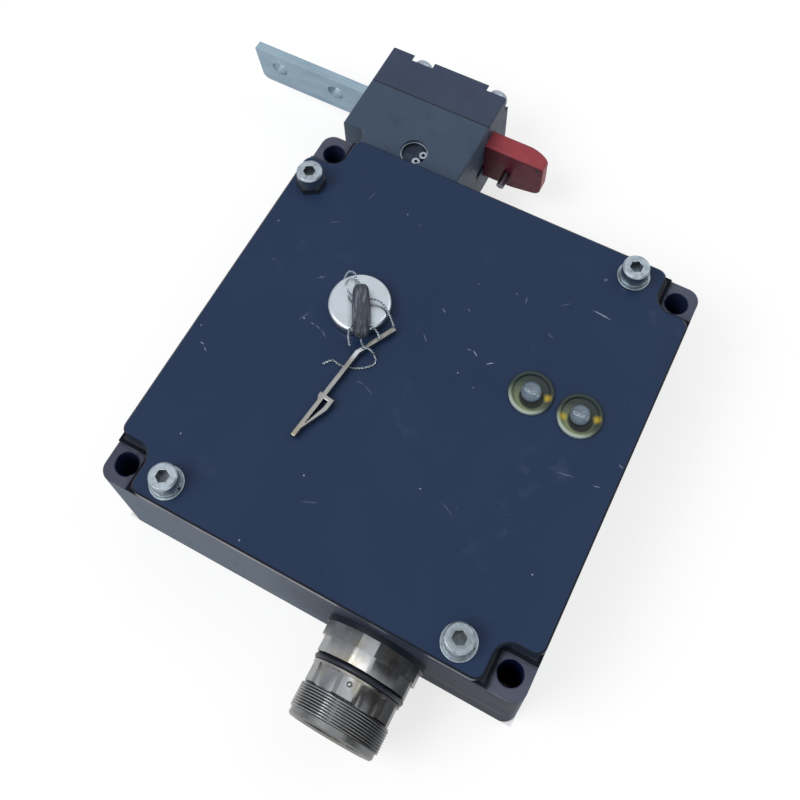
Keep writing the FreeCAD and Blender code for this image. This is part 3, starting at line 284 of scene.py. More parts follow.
def cover_enamel(look):
    # Stoving enamel sprayed on a die-cast cover: smooth and even, so that only dust, thin
    # scuffs, a dark joint line along its foot and painted shade on the upper part of its sides
    # break the blue. Real specks are 0.1 mm; here they are 0.25 mm so that they show.
    f = Finish("sprayed blue enamel")
    low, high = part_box("cover_plate")
    # Painted shade on the upper part of the cover's sides, and the dark joint line at its foot.
    edge = f.add("ShaderNodeMath", {0: band(f, "Z", high[2] - 0.55 * MM, 0.5),
                                    1: band(f, "Z", low[2], 0.4)}, operation="MAXIMUM")
    strokes = scuffs(f)
    # From here on the marks run straight down the plate's sides.
    f.place = f.add("ShaderNodeMapping", {"Vector": f.place, "Scale": (1, 1, 0)})
    marks = f.add("ShaderNodeMath", {0: strokes, 1: dust(f, 5.2, 0.25, 0.45)},
                  operation="MAXIMUM")
    haze = f.add("ShaderNodeMath", {0: clouds(f, 5, 0.5, 0.75), 1: clouds(f, 26, 0.56, 0.7)},
                 operation="MULTIPLY")
    colour = stained(f, linear(look.cover_colour),
                     (clouds(f, 42, 0.3, 0.7), 0.4, "#2A3A58"), (haze, 0.14, "#8796B0"),
                     (edge, 0.9, "#080C16"), (marks, 0.75, "#B9C6DA"))
    ripple = f.add("ShaderNodeBump", {"Height": clouds(f, 1.6, 0.2, 0.8, detail=1.0),
                                      "Distance": 0.006 * MM})
    # The roughness wanders about 0.3.
    return f.end(Base_Color=colour, Roughness=clouds(f, 20, 0.0, 1.6), Normal=ripple,
                 Specular_IOR_Level=0.16)


# How far the case's fixing holes lie in from its sides, along X and Y, and the radius of
# the dark blue shade painted in them, in millimetres.
FIXING_INSET = (5, 5.5)
FIXING_RADIUS = 3.1


def cast_coat(name, top, wall):
    # Thin coat on a zinc or aluminium die casting: it follows the casting's flow lines and
    # fine grain and rubs pale on its edges. Painted light makes its walls lighter than its top
    # faces, and painted shade darkens its corners. The grain of 0.3 mm is drawn at 0.8 mm.
    f = Finish(name)
    # Painted light: faces turned away from up take the lighter wall colour.
    base = f.add("ShaderNodeMix", {0: facing(f, (0, 0, 1), 0.9, 0.3), 6: linear(top),
                                   7: linear(wall)}, out=2, data_type="RGBA")
    flow = clouds(f, 13, 0.35, 0.68, (0.35, 0.35, 1.8), 5.0)
    low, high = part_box("base_housing")
    # A painted shadow of the connector darkens the wall that carries it.
    beside = near(f, (high[0] - 12 * MM, low[1], 20 * MM), 26, 44, (0.8, 1, 1))
    connector_shadow_mask = f.add("ShaderNodeMath", {0: beside, 1: facing(f, (0, -1, 0), 0.3, 0.8)},
                 operation="MULTIPLY")
    in_x, in_y = FIXING_INSET[0] * MM, FIXING_INSET[1] * MM
    # Painted shade: dark blue in and just round each fixing hole.
    painted_hole_shades = [near(f, (x, y, 0), FIXING_RADIUS, FIXING_RADIUS + 0.2, (1, 1, 0))
             for x in (low[0] + in_x, high[0] - in_x) for y in (low[1] + in_y, high[1] - in_y)]
    seam = band(f, "Z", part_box("cover_plate")[0][2], 0.4)
    colour = stained(f, base, (flow, 0.38, "#78848F"), (clouds(f, 7, 0.55, 0.75), 0.4, "#2B2A35"),
                     (connector_shadow_mask, 0.85, "#242736"), *[(hole, 0.85, "#0E1A44") for hole in painted_hole_shades],
                     (dust(f, 3.4, 0.22, 0.22), 0.4, "#B5BAC6"),
                     (painted_recess_shade(f, 2.5), 0.6, "#12141F"),
                     (rubbed_edges(f, 0.45, 4), 0.5, "#9B9FA9"), (seam, 0.9, "#0A0D16"))
    grain = f.add("ShaderNodeBump", {"Height": clouds(f, 0.8, 0.2, 0.8), "Distance": 0.02 * MM})
    grain = f.add("ShaderNodeBump", {"Height": flow, "Distance": 0.05 * MM, "Normal": grain})
    rough = f.add("ShaderNodeMapRange", {"Value": flow, "To Min": 0.42, "To Max": 0.56})
    return f.end(Base_Color=colour, Roughness=rough, Normal=grain, Specular_IOR_Level=0.02)


def head_coat(name, colour):
    # The head's coat is newer than the case's: even slate, a dark parting line where cap and
    # body meet, and only its sharpest edges worn.
    f = Finish(name)
    parting = band(f, "Y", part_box("head_cap")[0][1], 0.22)
    # Painted shade darkens the head's corners and sockets.
    shade = stained(f, linear(colour), (clouds(f, 16, 0.35, 0.7, (0.5, 0.5, 1.5)), 0.25, "#57647A"),
                    (clouds(f, 5, 0.56, 0.76), 0.3, "#2C3040"),
                    (painted_recess_shade(f, 2.0), 0.5, "#12141F"),
                    (rubbed_edges(f, 0.3, 3), 0.35, "#8D95A4"), (parting, 0.8, "#14161E"))
    rounded = f.add("ShaderNodeBevel", {"Radius": 0.7 * MM}, samples=8)
    grain = f.add("ShaderNodeBump", {"Height": clouds(f, 0.8, 0.2, 0.8), "Distance": 0.015 * MM,
                                     "Normal": rounded})
    rough = f.add("ShaderNodeMapRange", {"Value": clouds(f, 9, 0.3, 0.7), "To Min": 0.4,
                                         "To Max": 0.54})
    return f.end(Base_Color=shade, Roughness=rough, Normal=grain, Specular_IOR_Level=0.15)


def plated(name, colour, stain, share, rough, across=4.0, stretch=(1, 1, 1), spots=(),
           turned=0.15, recess_shade_share=0.8):
    # Electroplated metal: the bright layer is even, handling leaves cloudy stains and very
    # fine scratches, and stained places are duller. Each spot has its place, its inner and
    # outer reach in millimetres, how strongly it covers, and its colour. The radius that the
    # part's edges are turned to is in millimetres too.
    f = Finish(name)
    cloud = clouds(f, across, 0.42, 0.72, stretch, 5.0)
    # Painted highlights brighten the edges, and painted shade darkens corners and sockets.
    shade = stained(f, linear(colour), (cloud, share, stain),
                    (edges(f, 0.15), 0.3, "#F2F4F5"), (painted_recess_shade(f, 2.6), recess_shade_share, "#15171B"),
                    *[(near(f, place, inner, outer), cover, tone)
                      for place, inner, outer, cover, tone in spots])
    dull = f.add("ShaderNodeMapRange", {"Value": cloud, "To Min": rough, "To Max": rough + 0.2})
    rounded = f.add("ShaderNodeBevel", {"Radius": turned * MM}, samples=8)
    scratch = f.add("ShaderNodeBump", {
        "Height": clouds(f, 0.5, 0.2, 0.8, [s * s for s in stretch]), "Distance": 0.006 * MM,
        "Normal": rounded})
    return f.end(Base_Color=shade, Metallic=1.0, Roughness=dull, Normal=scratch)


def shell_nickel(look):
    # Nickel on turned brass: satin, with brown stains along the tool marks, a brown inner
    # rim, painted shade in the thread, on the facets turned to +X and on the right side, a
    # painted highlight on the lip, and one small ring punched beside the lip.
    f = Finish("stained nickel on brass")
    centre, tip = middle("connector_shell"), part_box("connector_shell")[0][1]
    moved = f.add("ShaderNodeVectorMath", {0: f.place, 1: centre}, operation="SUBTRACT")
    flat = f.add("ShaderNodeVectorMath", {0: moved, 1: (1, 0, 1)}, operation="MULTIPLY")
    radius = f.add("ShaderNodeVectorMath", {0: flat}, out="Value", operation="LENGTH")
    # The stain on the bore's rim, and the painted shade below the crests of the thread.
    bore = f.add("ShaderNodeMapRange", {"Value": radius, "From Min": 10.3 * MM,
                                        "From Max": 9.7 * MM})
    sunk = f.add("ShaderNodeMapRange", {"Value": radius, "From Min": 11.46 * MM,
                                        "From Max": 11.25 * MM})
    along = f.add("ShaderNodeSeparateXYZ", {0: f.place}, out="Y")
    threaded = f.add("ShaderNodeMapRange", {"Value": along, "From Min": tip + 7.4 * MM,
                                            "From Max": tip + 7.2 * MM})
    thread_groove_shade = f.add("ShaderNodeMath", {0: sunk, 1: threaded}, operation="MULTIPLY")
    # A painted highlight on the lip.
    painted_lip_highlight = band(f, "Y", tip + 0.9 * MM, 0.85)
    spot = (centre.x, tip + 11.0 * MM, centre.z + 10.5 * MM)
    punch = f.add("ShaderNodeMath", {0: near(f, spot, 0.85, 0.95), 1: near(f, spot, 0.6, 0.7)},
                  operation="SUBTRACT", use_clamp=True)
    # Painted shade on the connector's right side.
    side = near(f, (centre.x + 13 * MM, tip + 10 * MM, centre.z + 2 * MM), 4, 11, (1, 0.2, 0.7))
    # Painted shade: the facets turned to +X are drawn dark, as a painted dark reflection.
    shade = stained(f, linear(look.shell_colour),
                    (clouds(f, 4, 0.45, 0.72, (1, 0.4, 1), 5.0), 0.55, "#77716A"),
                    (clouds(f, 7, 0.5, 0.66), 0.55, "#8E8468"),
                    (facing(f, (0.9, 0, 0.42), 0.72, 0.95), 0.7, "#35353A"),
                    (thread_groove_shade, 0.85, "#24221F"), (side, 0.85, "#26282E"), (bore, 0.45, "#857D70"),
                    (painted_lip_highlight, 0.3, "#B9BCBE"), (punch, 0.8, "#39352F"))
    dull = f.add("ShaderNodeMapRange", {"Value": clouds(f, 5, 0.35, 0.7), "To Min": 0.24,
                                        "To Max": 0.42})
    press = f.add("ShaderNodeBump", {"Height": punch, "Distance": -0.08 * MM})
    turning = f.add("ShaderNodeBump", {"Height": clouds(f, 0.5, 0.2, 0.8, (0.3, 1, 0.3)),
                                       "Distance": 0.008 * MM, "Normal": press})
    return f.end(Base_Color=shade, Metallic=1.0, Roughness=dull, Normal=turning)


def tongue_zinc(look):
    # Blue passivated zinc on rolled steel strip: pale blue grey with long draw lines, and
    # the strip's narrow edges show the layers of the rolling.
    f = Finish("blue passivated zinc strip")
    across = f.add("ShaderNodeSeparateXYZ", {0: f.place}, out="Y")
    # The layers are 0.2 mm apart on the real strip and 0.75 mm here.
    phase = f.add("ShaderNodeMath", {0: across, 1: 2 * math.pi / (0.75 * MM)},
                  operation="MULTIPLY")
    wave = f.add("ShaderNodeMath", {0: phase}, operation="SINE")
    layer = f.add("ShaderNodeMapRange", {"Value": wave, "From Min": 0.2, "From Max": 0.9})
    layer = f.add("ShaderNodeMath", {0: layer, 1: facing(f, (0, 0, 1), 0.5, 0.9)},
                  operation="MULTIPLY")
    # Painted shade darkens the faces turned to -Y, and painted highlights brighten the edges.
    shade = stained(f, linear(look.zinc_colour),
                    (clouds(f, 6, 0.42, 0.7, (0.25, 1, 1.4), 5.0), 0.5, "#7488A0"),
                    (clouds(f, 2.5, 0.6, 0.75), 0.4, "#C9D6E2"), (layer, 0.5, "#5C6A7C"),
                    (facing(f, (0, -1, 0), 0.5, 0.9), 0.35, "#5F7084"),
                    (edges(f, 0.25), 0.4, "#E4ECF3"))
    draw = f.add("ShaderNodeBump", {"Height": clouds(f, 0.7, 0.2, 0.8, (0.06, 1, 1)),
                                    "Distance": 0.012 * MM})
    dull = f.add("ShaderNodeMapRange", {"Value": clouds(f, 8, 0.3, 0.7), "To Min": 0.34,
                                        "To Max": 0.5})
    return f.end(Base_Color=shade, Metallic=0.9, Roughness=dull, Normal=draw)


def nose_enamel(look):
    # Brick red enamel on a casting: drawn pale on top by painted light and dark on its front
    # by painted shade, rubbed pale on its edges in places, with one chip near the tip down to dark
    # metal.
    f = Finish("worn brick red enamel")
    low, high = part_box("tongue_nose")
    base = f.add("ShaderNodeMix", {0: facing(f, (0, -1, 0), 0.35, 0.85),
                                   6: linear(look.nose_top_light_colour),
                                   7: linear(look.nose_front_shade_colour)}, out=2, data_type="RGBA")
    chip = near(f, (high[0] - 1.8 * MM, low[1] + 0.4 * MM, high[2] - 1.7 * MM), 0.6, 1.1)
    shade = stained(f, base, (clouds(f, 5, 0.45, 0.7, detail=5.0), 0.3, "#5E2430"),
                    (clouds(f, 1.6, 0.6, 0.72), 0.3, "#B06670"),
                    (rubbed_edges(f, 0.5, 3), 0.4, "#C07A80"), (chip, 0.9, "#1E1A20"))
    rounded = f.add("ShaderNodeBevel", {"Radius": 0.8 * MM}, samples=8)
    grain = f.add("ShaderNodeBump", {"Height": clouds(f, 0.8, 0.2, 0.8), "Distance": 0.025 * MM,
                                     "Normal": rounded})
    rough = f.add("ShaderNodeMapRange", {"Value": clouds(f, 4, 0.3, 0.7), "To Min": 0.4,
                                         "To Max": 0.55})
    return f.end(Base_Color=shade, Roughness=rough, Normal=grain, Specular_IOR_Level=0.3)


def pressed_lead(look):
    # Soft lead squeezed round the wire with sealing pliers: dull grey, dragged into long
    # creases, darker in them and bright where it was rubbed last.
    f = Finish("pressed lead")
    f.place = f.add("ShaderNodeMapping", {"Vector": f.place, "Location": middle("lead_seal"),
                                          "Rotation": (0, 0, math.radians(SEAL_TURN))},
                    vector_type="TEXTURE")
    drag = clouds(f, 1.3, 0.38, 0.66, (0.16, 1, 1), 5.0)
    shade = stained(f, linear(look.lead_colour), (drag, 0.85, "#1D2028"),
                    (clouds(f, 0.9, 0.52, 0.62, (0.14, 1, 1)), 0.45, "#868E9C"),
                    (clouds(f, 3, 0.55, 0.7), 0.4, "#1A1C22"))
    crease = f.add("ShaderNodeBump", {"Height": drag, "Distance": 0.12 * MM})
    rough = f.add("ShaderNodeMapRange", {"Value": drag, "To Min": 0.38, "To Max": 0.6})
    return f.end(Base_Color=shade, Metallic=0.35, Roughness=rough, Normal=crease)


def rubber(look):
    # Moulded nitrile rubber: nearly black navy, faintly dusty, a soft broad shine.
    f = Finish("moulded navy rubber")
    shade = stained(f, linear(look.rubber_colour), (clouds(f, 3, 0.5, 0.8), 0.4, "#2E3550"))
    skin = f.add("ShaderNodeBump", {"Height": clouds(f, 0.6, 0.2, 0.8), "Distance": 0.008 * MM})
    return f.end(Base_Color=shade, Roughness=0.4, Normal=skin, Specular_IOR_Level=0.35)


def window_resin(look, name, spots):
    # Cast polyurethane window: olive and half clear, with yellowed spots at places given in
    # millimetres from its middle, a painted pool of light on its -Y side, a painted shadow
    # crescent where the lamp passes through and a painted highlight on the -Y half of its moulded
    # rim.
    f = Finish("cast olive resin " + name)
    centre, top = middle(name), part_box(name)[1][2]

    def patch(x, y, inner, outer):
        """1 on a round patch about a place in millimetres from the window's middle."""
        return near(f, (centre.x + x * MM, centre.y + y * MM, top), inner, outer, (1, 1, 0))

    # Painted light at lit, a painted shadow crescent by the lamp, and a painted highlight on the
    # rim near lit.
    lit = (-0.6, -3.6)
    rim = f.add("ShaderNodeMath", {0: 1.0, 1: patch(0, 0, 4.9, 5.3)}, operation="SUBTRACT")
    bright = f.add("ShaderNodeMath", {0: rim, 1: patch(*lit, 3.0, 5.5)}, operation="MULTIPLY")
    shade = stained(f, linear(look.resin_colour), (clouds(f, 2.4, 0.45, 0.75), 0.4, "#313D3A"),
                    (patch(*lit, 1.2, 6.2), 0.95, "#8C9A74"),
                    *[(patch(x, y, 0.3, 1.3), 0.85, "#CDB42C") for x, y in spots],
                    (patch(0.5, -1.0, 2.8, 3.4), 0.97, "#080C10"), (bright, 0.8, "#C2CFC8"))
    wet = f.add("ShaderNodeBump", {"Height": clouds(f, 2.2, 0.2, 0.8), "Distance": 0.05 * MM})
    return f.end(Base_Color=shade, Roughness=0.08, Transmission_Weight=0.1, IOR=1.5,
                 Specular_IOR_Level=0.3, Normal=wet)


def lamp_epoxy(look):
    # Clear cast epoxy: glassy, with its lead frame showing through the dome.
    f = Finish("clear cast epoxy")
    shade = stained(f, linear(look.lamp_colour), (clouds(f, 3.0, 0.4, 0.8, detail=1.0), 0.5,
                                                  "#A4B2BE"))
    return f.end(Base_Color=shade, Roughness=0.04, Transmission_Weight=0.9, IOR=1.45)


def moulded(name, colour, fleck):
    # Glass-filled plastic out of a spark-eroded mould: matt, even, with a fine grain. The
    # lacquered board, and the frames and beds under the lamps' domes, are as matt and even.
    f = Finish(name)
    shade = stained(f, linear(colour), (clouds(f, 6, 0.4, 0.7), 0.4, fleck))
    grain = f.add("ShaderNodeBump", {"Height": clouds(f, 0.5, 0.2, 0.8), "Distance": 0.01 * MM})
    rough = f.add("ShaderNodeMapRange", {"Value": clouds(f, 3, 0.3, 0.7), "To Min": 0.45,
                                         "To Max": 0.58})
    return f.end(Base_Color=shade, Roughness=rough, Normal=grain)


def middle(node):
    """The middle of a CAD node's box."""
    low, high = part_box(node)
    return (Vector(low) + Vector(high)) / 2


def dress(node, material):
    """Give every slot of a CAD node one material."""
    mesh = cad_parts[node].data
    if not mesh.materials:
        mesh.materials.append(None)
    for index in range(len(mesh.materials)):
        mesh.materials[index] = material


def skin(bm, rings):
    """A tube of faces between rings of points. Gives its rows of corners."""
    rows = [[bm.verts.new(spot) for spot in ring] for ring in rings]
    for first, second in zip(rows, rows[1:]):
        for k in range(len(first)):
            after = (k + 1) % len(first)
            bm.faces.new((first[k], first[after], second[after], second[k]))
    return rows


def loft(bm, rings):
    """A tube of faces whose first and last rings may shrink to a point or meet."""
    skin(bm, rings)
    bmesh.ops.remove_doubles(bm, verts=bm.verts, dist=1e-6)


def circle(count):
    """The angles of that many even steps round a circle."""
    return [2 * math.pi * k / count for k in range(count)]


def piece(name, bm, body, material, angle=32):
    """A mesh piece that rides on a body, smooth but for edges sharper than the angle."""
    bmesh.ops.recalc_face_normals(bm, faces=bm.faces)
    for face in bm.faces:
        face.smooth = True
    for edge in bm.edges:
        edge.smooth = len(edge.link_faces) == 2 and edge.calc_face_angle() < math.radians(angle)
    mesh = bpy.data.meshes.new(name)
    bm.to_mesh(mesh)
    bm.free()
    mesh.materials.append(material)
    made = bpy.data.objects.new(name, mesh)
    bpy.context.scene.collection.objects.link(made)
    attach(made, body)
    return made


def twelve_flats(angle, across, cut):
    """The radius at an angle of a hexagon whose corners a second hexagon cuts off."""
    reaches = []
    for k in range(12):
        slope = math.cos(angle - math.radians(30 * k))
        if slope > 0.5:
            reaches.append((across, cut)[k % 2] / slope)
    return min(reaches)


# Stations of the connector shell in millimetres: distance from its open end, radius, second
# radius where the length has flats.
SHELL_MOUTH = [(13.0, 0.0, 0), (13.0, 9.3, 0), (0.5, 9.3, 0), (0.0, 9.8, 0), (0.0, 10.5, 0),
               (0.4, 10.9, 0), (1.7, 10.9, 0)]
SHELL_BODY = [(7.5, 11.2, 0), (7.6, 10.7, 0), (7.9, 10.6, 11.1), (12.2, 10.6, 11.1),
              (12.4, 11.15, 0), (12.5, 11.3, 0), (13.0, 11.3, 0), (13.1, 11.2, 0),
              (13.1, 9.95, 0), (14.8, 9.95, 0), (14.8, 11.2, 11.45), (15.0, 11.3, 11.55),
              (18.5, 11.3, 11.8), (18.5, 9.0, 0), (29.7, 9.0, 0), (30.0, 8.7, 0), (30.0, 0.0, 0)]
# The thread between them in millimetres, the stations in each of its turns, and the points
# round every station.
THREAD_START = 1.8
THREAD_LENGTH = 5.6
THREAD_RADIUS = 11.5
TURN_STATIONS = 6
SHELL_POINTS = 144


class SWITCH_OT_connector(bpy.types.Operator):
    """Turn the connector shell with its fine outer thread, and its smooth O-ring"""
    bl_idname = "switch.connector"
    bl_label = "Turn the Connector"

    def execute(self, context):
        self.shell(context.scene.switch_settings)
        self.o_ring(context.scene.switch_settings)
        return {"FINISHED"}

    def shell(self, look):
        """The shell from its bore round its lip, along its thread and flats to its root."""
        centre, tip = middle("connector_shell"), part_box("connector_shell")[0][1]
        step = look.thread_pitch / TURN_STATIONS
        stations = [(d * MM, r * MM, c * MM, False) for d, r, c in SHELL_MOUTH]
        stations += [(THREAD_START * MM + step * k, THREAD_RADIUS * MM, 0, True)
                     for k in range(1, round(THREAD_LENGTH * MM / step))]
        stations += [(d * MM, r * MM, c * MM, False) for d, r, c in SHELL_BODY]
        rings = []
        for distance, radius, cut, threaded in stations:
            ring = []
            for turn in circle(SHELL_POINTS):
                reach = twelve_flats(turn, radius, cut) if cut else radius
                if threaded:
                    phase = (distance / look.thread_pitch - turn / (2 * math.pi)) % 1
                    reach -= look.thread_depth * (1 - abs(2 * phase - 1))
                ring.append((centre.x + reach * math.cos(turn), tip + distance,
                             centre.z + reach * math.sin(turn)))
            rings.append(ring)
        bm = bmesh.new()
        loft(bm, rings)
        shell = piece("threaded_shell", bm, "case", shell_nickel(look), 28)
        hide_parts("connector_shell")

    def o_ring(self, look):
        """A round ring as wide and as thick as the CAD ring."""
        hub = middle("connector_o_ring")
        low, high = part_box("connector_o_ring")
        thick = (high[1] - low[1]) / 2
        mean = (high[0] - low[0]) / 2 - thick
        rings = []
        for turn in circle(24) + [0]:
            reach, along = mean + thick * math.cos(turn), thick * math.sin(turn)
            rings.append([(hub.x + reach * math.cos(t), hub.y + along, hub.z + reach * math.sin(t))
                          for t in circle(96)])
        bm = bmesh.new()
        loft(bm, rings)
        ring = piece("smooth_o_ring", bm, "case", rubber(look), 60)
        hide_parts("connector_o_ring")


# The lead seal: its turn about Z in degrees, its half length and half width in millimetres,
# the power that squares its round section, how many sections it has, and the points of each.
SEAL_TURN = -60.9
SEAL_HALF_LENGTH = 7.4
SEAL_HALF_WIDTH = 2.3
SEAL_SQUARE = 0.55
SEAL_SECTIONS = 40
SEAL_POINTS = 48

# The seal wire's routes in millimetres from the middle of the knob's top, and the level that
# each point lies at: through the seal's holes, on the knob, over the key, on the cover.
WIRE_ROUTES = [
    [(-6.0, 3.2, "hole"), (-6.6, 5.4, "hole"), (-4.4, 6.0, "hole"), (-3.4, 4.3, "hole"),
     (-1.9, 3.8, "hole")],
    [(-3.9, 1.0, "hole"), (-2.3, -1.2, "hole"), (4.2, 2.35, "hole"), (8.3, 0.6, "knob"),
     (10.8, -1.9, "over")],
    [(3.5, -11.4, "over"), (0.2, -7.85, "hole"), (7.0, -4.1, "hole"), (9.6, -6.6, "over")],
    [(5.8, -9.5, "hole"), (6.4, -10.3, "over"), (8.8, -9.9, "over"),
     (10.3, -10.4, "laid"), (10.9, -12.4, "laid"), (7.6, -15.3, "laid"),
     (3.0, -16.5, "laid"), (0.6, -15.6, "laid"), (-0.7, -18.0, "laid")],
]


class SWITCH_OT_seal(bpy.types.Operator):
    """Press the lead seal with its long creases, and twist the wires that it closes"""
    bl_idname = "switch.seal"
    bl_label = "Press the Seal"

    def execute(self, context):
        self.seal(context.scene.switch_settings)
        self.wires(context.scene.switch_settings)
        return {"FINISHED"}

    def seal(self, look):
        """A rounded bar of lead, squeezed by pliers and turned askew on the knob."""
        centre = middle("lead_seal")
        low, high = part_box("lead_seal")
        spin = Matrix.Rotation(math.radians(SEAL_TURN), 3, "Z")
        half = Vector((SEAL_HALF_LENGTH, SEAL_HALF_WIDTH, (high[2] - low[2]) / 2 / MM)) * MM
        rings = []
        for row in range(SEAL_SECTIONS + 1):
            along = 2 * row / SEAL_SECTIONS - 1
            # The pliers squeeze the ends rounder and lower than the middle.
            slim = (1 - abs(along) ** 7) ** 0.5 * (0.97 + 0.03 * math.cos(5 * along))
            ring = []
            for turn in circle(SEAL_POINTS):
                wide = math.copysign(abs(math.cos(turn)) ** SEAL_SQUARE, math.cos(turn))
                tall = math.copysign(abs(math.sin(turn)) ** SEAL_SQUARE, math.sin(turn))
                crease = look.seal_press * slim * max(0, math.sin(5 * turn + 1.2 * along)
                                                      * math.cos(2.3 * along + turn)) ** 2
                spot = Vector((half.x * along, (half.y - crease) * slim * wide,
                               (half.z - crease) * slim * tall))
                ring.append(centre + spin @ spot)
            rings.append(ring)
        bm = bmesh.new()
        loft(bm, rings)
        seal = piece("creased_seal", bm, "release", pressed_lead(look), 50)
        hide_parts("lead_seal")

    def wires(self, look):
        """A pair of twisted wires along every route."""
        origin, half_wire = middle("release_knob"), look.wire_thick / 2
        levels = {"hole": middle("lead_seal").z,
                  "knob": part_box("release_knob")[1][2] + half_wire,
                  "over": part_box("release_key")[1][2] + half_wire,
                  "laid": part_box("cover_plate")[1][2] + half_wire}
        bm = bmesh.new()
        for route in WIRE_ROUTES:
            spots = self.smooth([(origin.x + x * MM, origin.y + y * MM, levels[height])
                                 for x, y, height in route])
            for phase in (0, math.pi):
                self.twist(bm, spots, phase, look.wire_thick / 4, look.wire_turn)
        wire = piece("twisted_wire", bm, "release",
                     plated("twisted steel wire", look.steel_colour, "#3E4046", 0.8, 0.3, 1.0),
                     60)
        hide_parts("seal_wire")

    def smooth(self, points):
        """Points close together along a smooth curve that the given points steer."""
        route = bpy.data.curves.new("route", "CURVE")
        route.dimensions = "3D"
        route.resolution_u = 24
        line = route.splines.new("NURBS")
        line.points.add(len(points) - 1)
        for knot, point in zip(line.points, points):
            knot.co = (*point, 1)
        line.order_u = 3
        line.use_endpoint_u = True
        holder = bpy.data.objects.new("route", route)
        spots = [v.co.copy() for v in bpy.data.meshes.new_from_object(holder).vertices]
        bpy.data.objects.remove(holder)
        return spots

    def twist(self, bm, spots, phase, radius, turn):
        """One thin wire wound round the route, closed at both ends."""
        run, rings = 0.0, []
        for index, spot in enumerate(spots):
            ahead = spots[min(index + 1, len(spots) - 1)] - spots[max(index - 1, 0)]
            ahead.normalize()
            if index:
                run += (spot - spots[index - 1]).length
            side = ahead.cross(Vector((0, 0, 1)))
            side = side.normalized() if side.length > 0.05 else Vector((1, 0, 0))
            up = side.cross(ahead)
            angle = phase + 2 * math.pi * run / turn
            centre = spot + radius * (math.cos(angle) * side + math.sin(angle) * up)
            rings.append([centre + radius * (math.cos(t) * side + math.sin(t) * up)
                          for t in circle(8)])
        rows = skin(bm, rings)
        bm.faces.new(rows[0])
        bm.faces.new(rows[-1])


# Inside a lamp, in millimetres over its dome's shoulder. The bed's profile: distance off the
# lamp's axis and level. The lead frame's two posts: place beside the axis, half width, and
# at each level how much of that width the post has. The frame is as thick all along.
LAMP_BED = [(0, -1.4), (2.1, -1.4), (2.2, -0.2), (2.0, -0.1), (1.2, -0.35), (0, -0.4)]
LEAD_POSTS = [(-0.25, 1.1, [(-5.65, 0.4), (-0.45, 0.4), (-0.05, 1.0), (0.35, 1.0)]),
              (1.35, 0.22, [(-5.65, 1.0), (-1.05, 1.0), (0.85, 1.0), (0.95, 1.4)])]
LEAD_HALF_THICK = 0.22
LAMP_POINTS = 64
DOME_STEPS = 14


class SWITCH_OT_lamps(bpy.types.Operator):
    """Cast the two lamps with smooth domes, each over its bed and lead frame"""
    bl_idname = "switch.lamps"
    bl_label = "Cast the Lamps"

    def execute(self, context):
        epoxy = lamp_epoxy(context.scene.switch_settings)
        # The lead frames are drawn matt near white: painted light standing in for the bright
        # reflection of their silvered metal.
        white_painted_frame = moulded("lead frame painted white", "#F4F8FA", "#CFD8DE")
        for side in ("left", "right"):
            low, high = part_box("led_" + side)
            radius = (high[0] - low[0]) / 2
            centre = middle("led_" + side)
            centre.z = high[2] - radius
            self.dome(side, centre, radius, low[2], epoxy)
            self.bed(side, centre)
            self.lead_frame(side, centre, white_painted_frame)
        return {"FINISHED"}

    def spun(self, centre, profile):
        """Rings about the lamp's axis, from distances off it and levels in metres."""
        return [[(centre.x + reach * math.cos(t), centre.y + reach * math.sin(t), level)
                 for t in circle(LAMP_POINTS)] for reach, level in profile]

    def dome(self, side, centre, radius, foot, epoxy):
        """The clear body: a straight side and a round top."""
        bends = [math.pi / 2 * k / DOME_STEPS for k in range(DOME_STEPS + 1)]
        bm = bmesh.new()
        loft(bm, self.spun(centre, [(0.0, foot), (radius, foot)] + [
            (radius * math.cos(bend), centre.z + radius * math.sin(bend)) for bend in bends]))
        dome = piece("clear_lamp_" + side, bm, "case", epoxy, 40)
        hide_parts("led_" + side)

    def bed(self, side, centre):
        """The grey bed that the chip sits on, dished like the bottom of a spoon."""
        grey = moulded("grey lamp bed " + side, "#7C8A98", "#5C6874")
        bm = bmesh.new()
        loft(bm, self.spun(centre, [(r * MM, centre.z + z * MM) for r, z in LAMP_BED]))
        piece("lamp_bed_" + side, bm, "case", grey, 50)

    def lead_frame(self, side, centre, white_painted_frame):
        """A wide post under the chip's cup, and a thin post with a head beside it."""
        bm = bmesh.new()
        for place, half, rows in LEAD_POSTS:
            loft(bm, [[(centre.x + (place + half * wide * a) * MM,
                        centre.y + LEAD_HALF_THICK * b * MM, centre.z + level * MM)
                       for a, b in ((-1, -1), (1, -1), (1, 1), (-1, 1))] for level, wide in rows])
        piece("lead_frame_" + side, bm, "case", white_painted_frame, 30)


